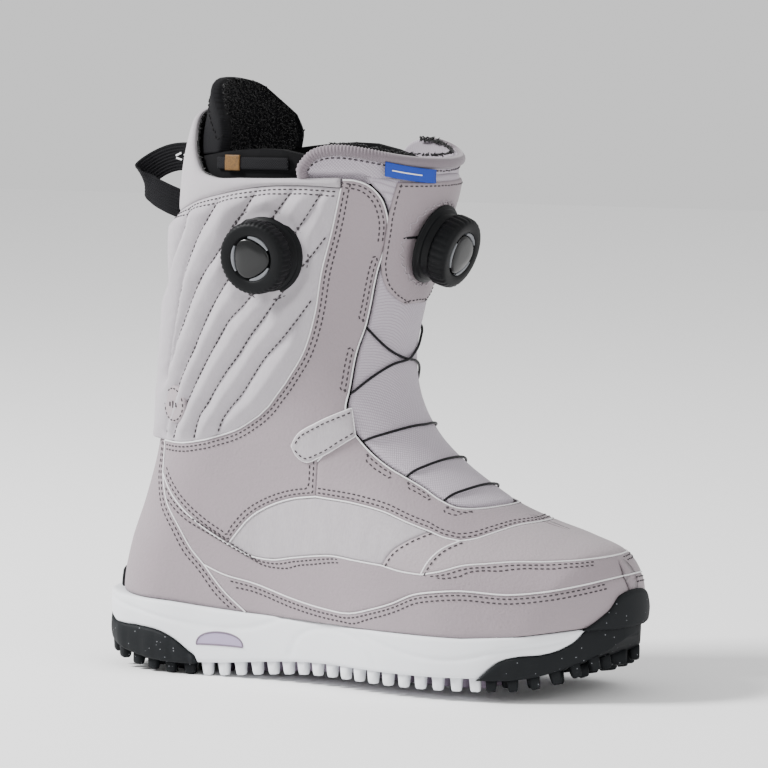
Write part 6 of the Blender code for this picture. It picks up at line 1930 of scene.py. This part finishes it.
# ---------------------------------------------------------------- studio
@dataclass(frozen=True)
class Studio:
    """A pale floor, soft lights and the camera."""

    sky: float = 0.9
    lamps: Sequence[tuple] = (("key", (-1.5, -1.0, 1.7), 0.6, 105), ("fill", (1.9, -0.9, 1.0), 1.6, 14))
    lens: float = 238.5
    sensor: float = 36.0
    target: tuple[float, float, float] = (0.0065, 0.00375, 0.140)
    azimuth: float = 30.0
    elevation: float = 5.0
    distance: float = 2.5

    def floor(self) -> None:
        """A wide plain floor."""
        floor = mesh_object("floor", np.array([(-3, -3, 0), (3, -3, 0), (3, 4, 0), (-3, 4, 0)]),
                            [(0, 1, 2, 3)])
        finish = Finish("floor", (252, 252, 252), (252, 252, 252), Surface.SMOOTH, 0.95)
        floor.data.materials.append(finish.material())
        floor.location.z = min(CAD_BOX[0][2], 0.0) - 0.2 * MM
        floor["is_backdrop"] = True

    def lights(self) -> None:
        """A bright even sky and two large soft lights."""
        world = bpy.data.worlds.new("studio_sky")
        world.use_nodes = True
        net = Net(world.node_tree)
        sky = net.add("ShaderNodeBackground", None, Color=(1.0, 1.0, 1.0, 1.0), Strength=self.sky)
        net.tree.links.new(sky.outputs[0], net.add("ShaderNodeOutputWorld").inputs[0])
        bpy.context.scene.world = world
        for name, spot, size, power in self.lamps:
            data = bpy.data.lights.new(name, "AREA")
            data.size, data.energy = size, power
            light = bpy.data.objects.new(name, data)
            light.location = spot
            aim = Vector((0, 0, 0.12)) - Vector(spot)
            light.rotation_euler = aim.to_track_quat("-Z", "Y").to_euler()
            bpy.context.scene.collection.objects.link(light)

    def camera(self) -> None:
        """The camera, low in front of the boot's outer side."""
        data = bpy.data.cameras.new("camera")
        data.lens, data.sensor_width = self.lens, self.sensor
        camera = bpy.data.objects.new("camera", data)
        target = Vector(self.target)
        azimuth, height = math.radians(self.azimuth), math.radians(self.elevation)
        away = Vector((math.sin(azimuth) * math.cos(height), -math.cos(azimuth) * math.cos(height),
                       math.sin(height)))
        camera.location = target + away * self.distance
        camera.rotation_euler = (-away).to_track_quat("-Z", "Y").to_euler()
        bpy.context.scene.collection.objects.link(camera)
        bpy.context.scene.camera = camera

    def build(self) -> None:
        """Makes the studio."""
        self.floor()
        self.lights()
        self.camera()


FORM = BootForm(Drawing())


def write_sizes(stage: str, box: Sequence[Sequence[float]], sizes: dict) -> None:
    """Keeps the shown object's bounds under a name."""
    sizes[stage] = [[float(v) for v in corner] for corner in box]


def main() -> None:
    """Builds every piece in order."""
    logging.basicConfig(level=logging.INFO, format="%(message)s")
    sizes: dict = {}
    write_sizes("cad", CAD_BOX, sizes)
    paint_frame()
    stitches = Thread("boot_stitches", "boot", PALETTE.thread)
    tongue_stitches = Thread("tongue_stitches", "tongue", PALETTE.thread)
    ring = Thread("dial_ring_stitches", "tongue", PALETTE.pale_thread, 1.6 * MM, 1.5 * MM)
    liner_stitches = Thread("liner_stitches", "boot", PALETTE.webbing)
    Upper(FORM, Seams(FORM), stitches).build()
    Liner(FORM, liner_stitches).build()
    PullLoop(FORM).build()
    Tongue(FORM, tongue_stitches).build()
    Lacing(FORM).build()
    Dial("side_dial", "side_knob_turn", "boot", stitches, ring).build()
    Dial("front_dial", "front_knob_turn", "tongue", tongue_stitches, ring, ribs=32).build()
    Sole(FORM).build()
    toe_cap(FORM)
    for thread in (stitches, tongue_stitches, ring, liner_stitches):
        thread.build()
    Studio().build()
    write_sizes("visual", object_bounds(), sizes)


if __name__ == "__main__":
    main()
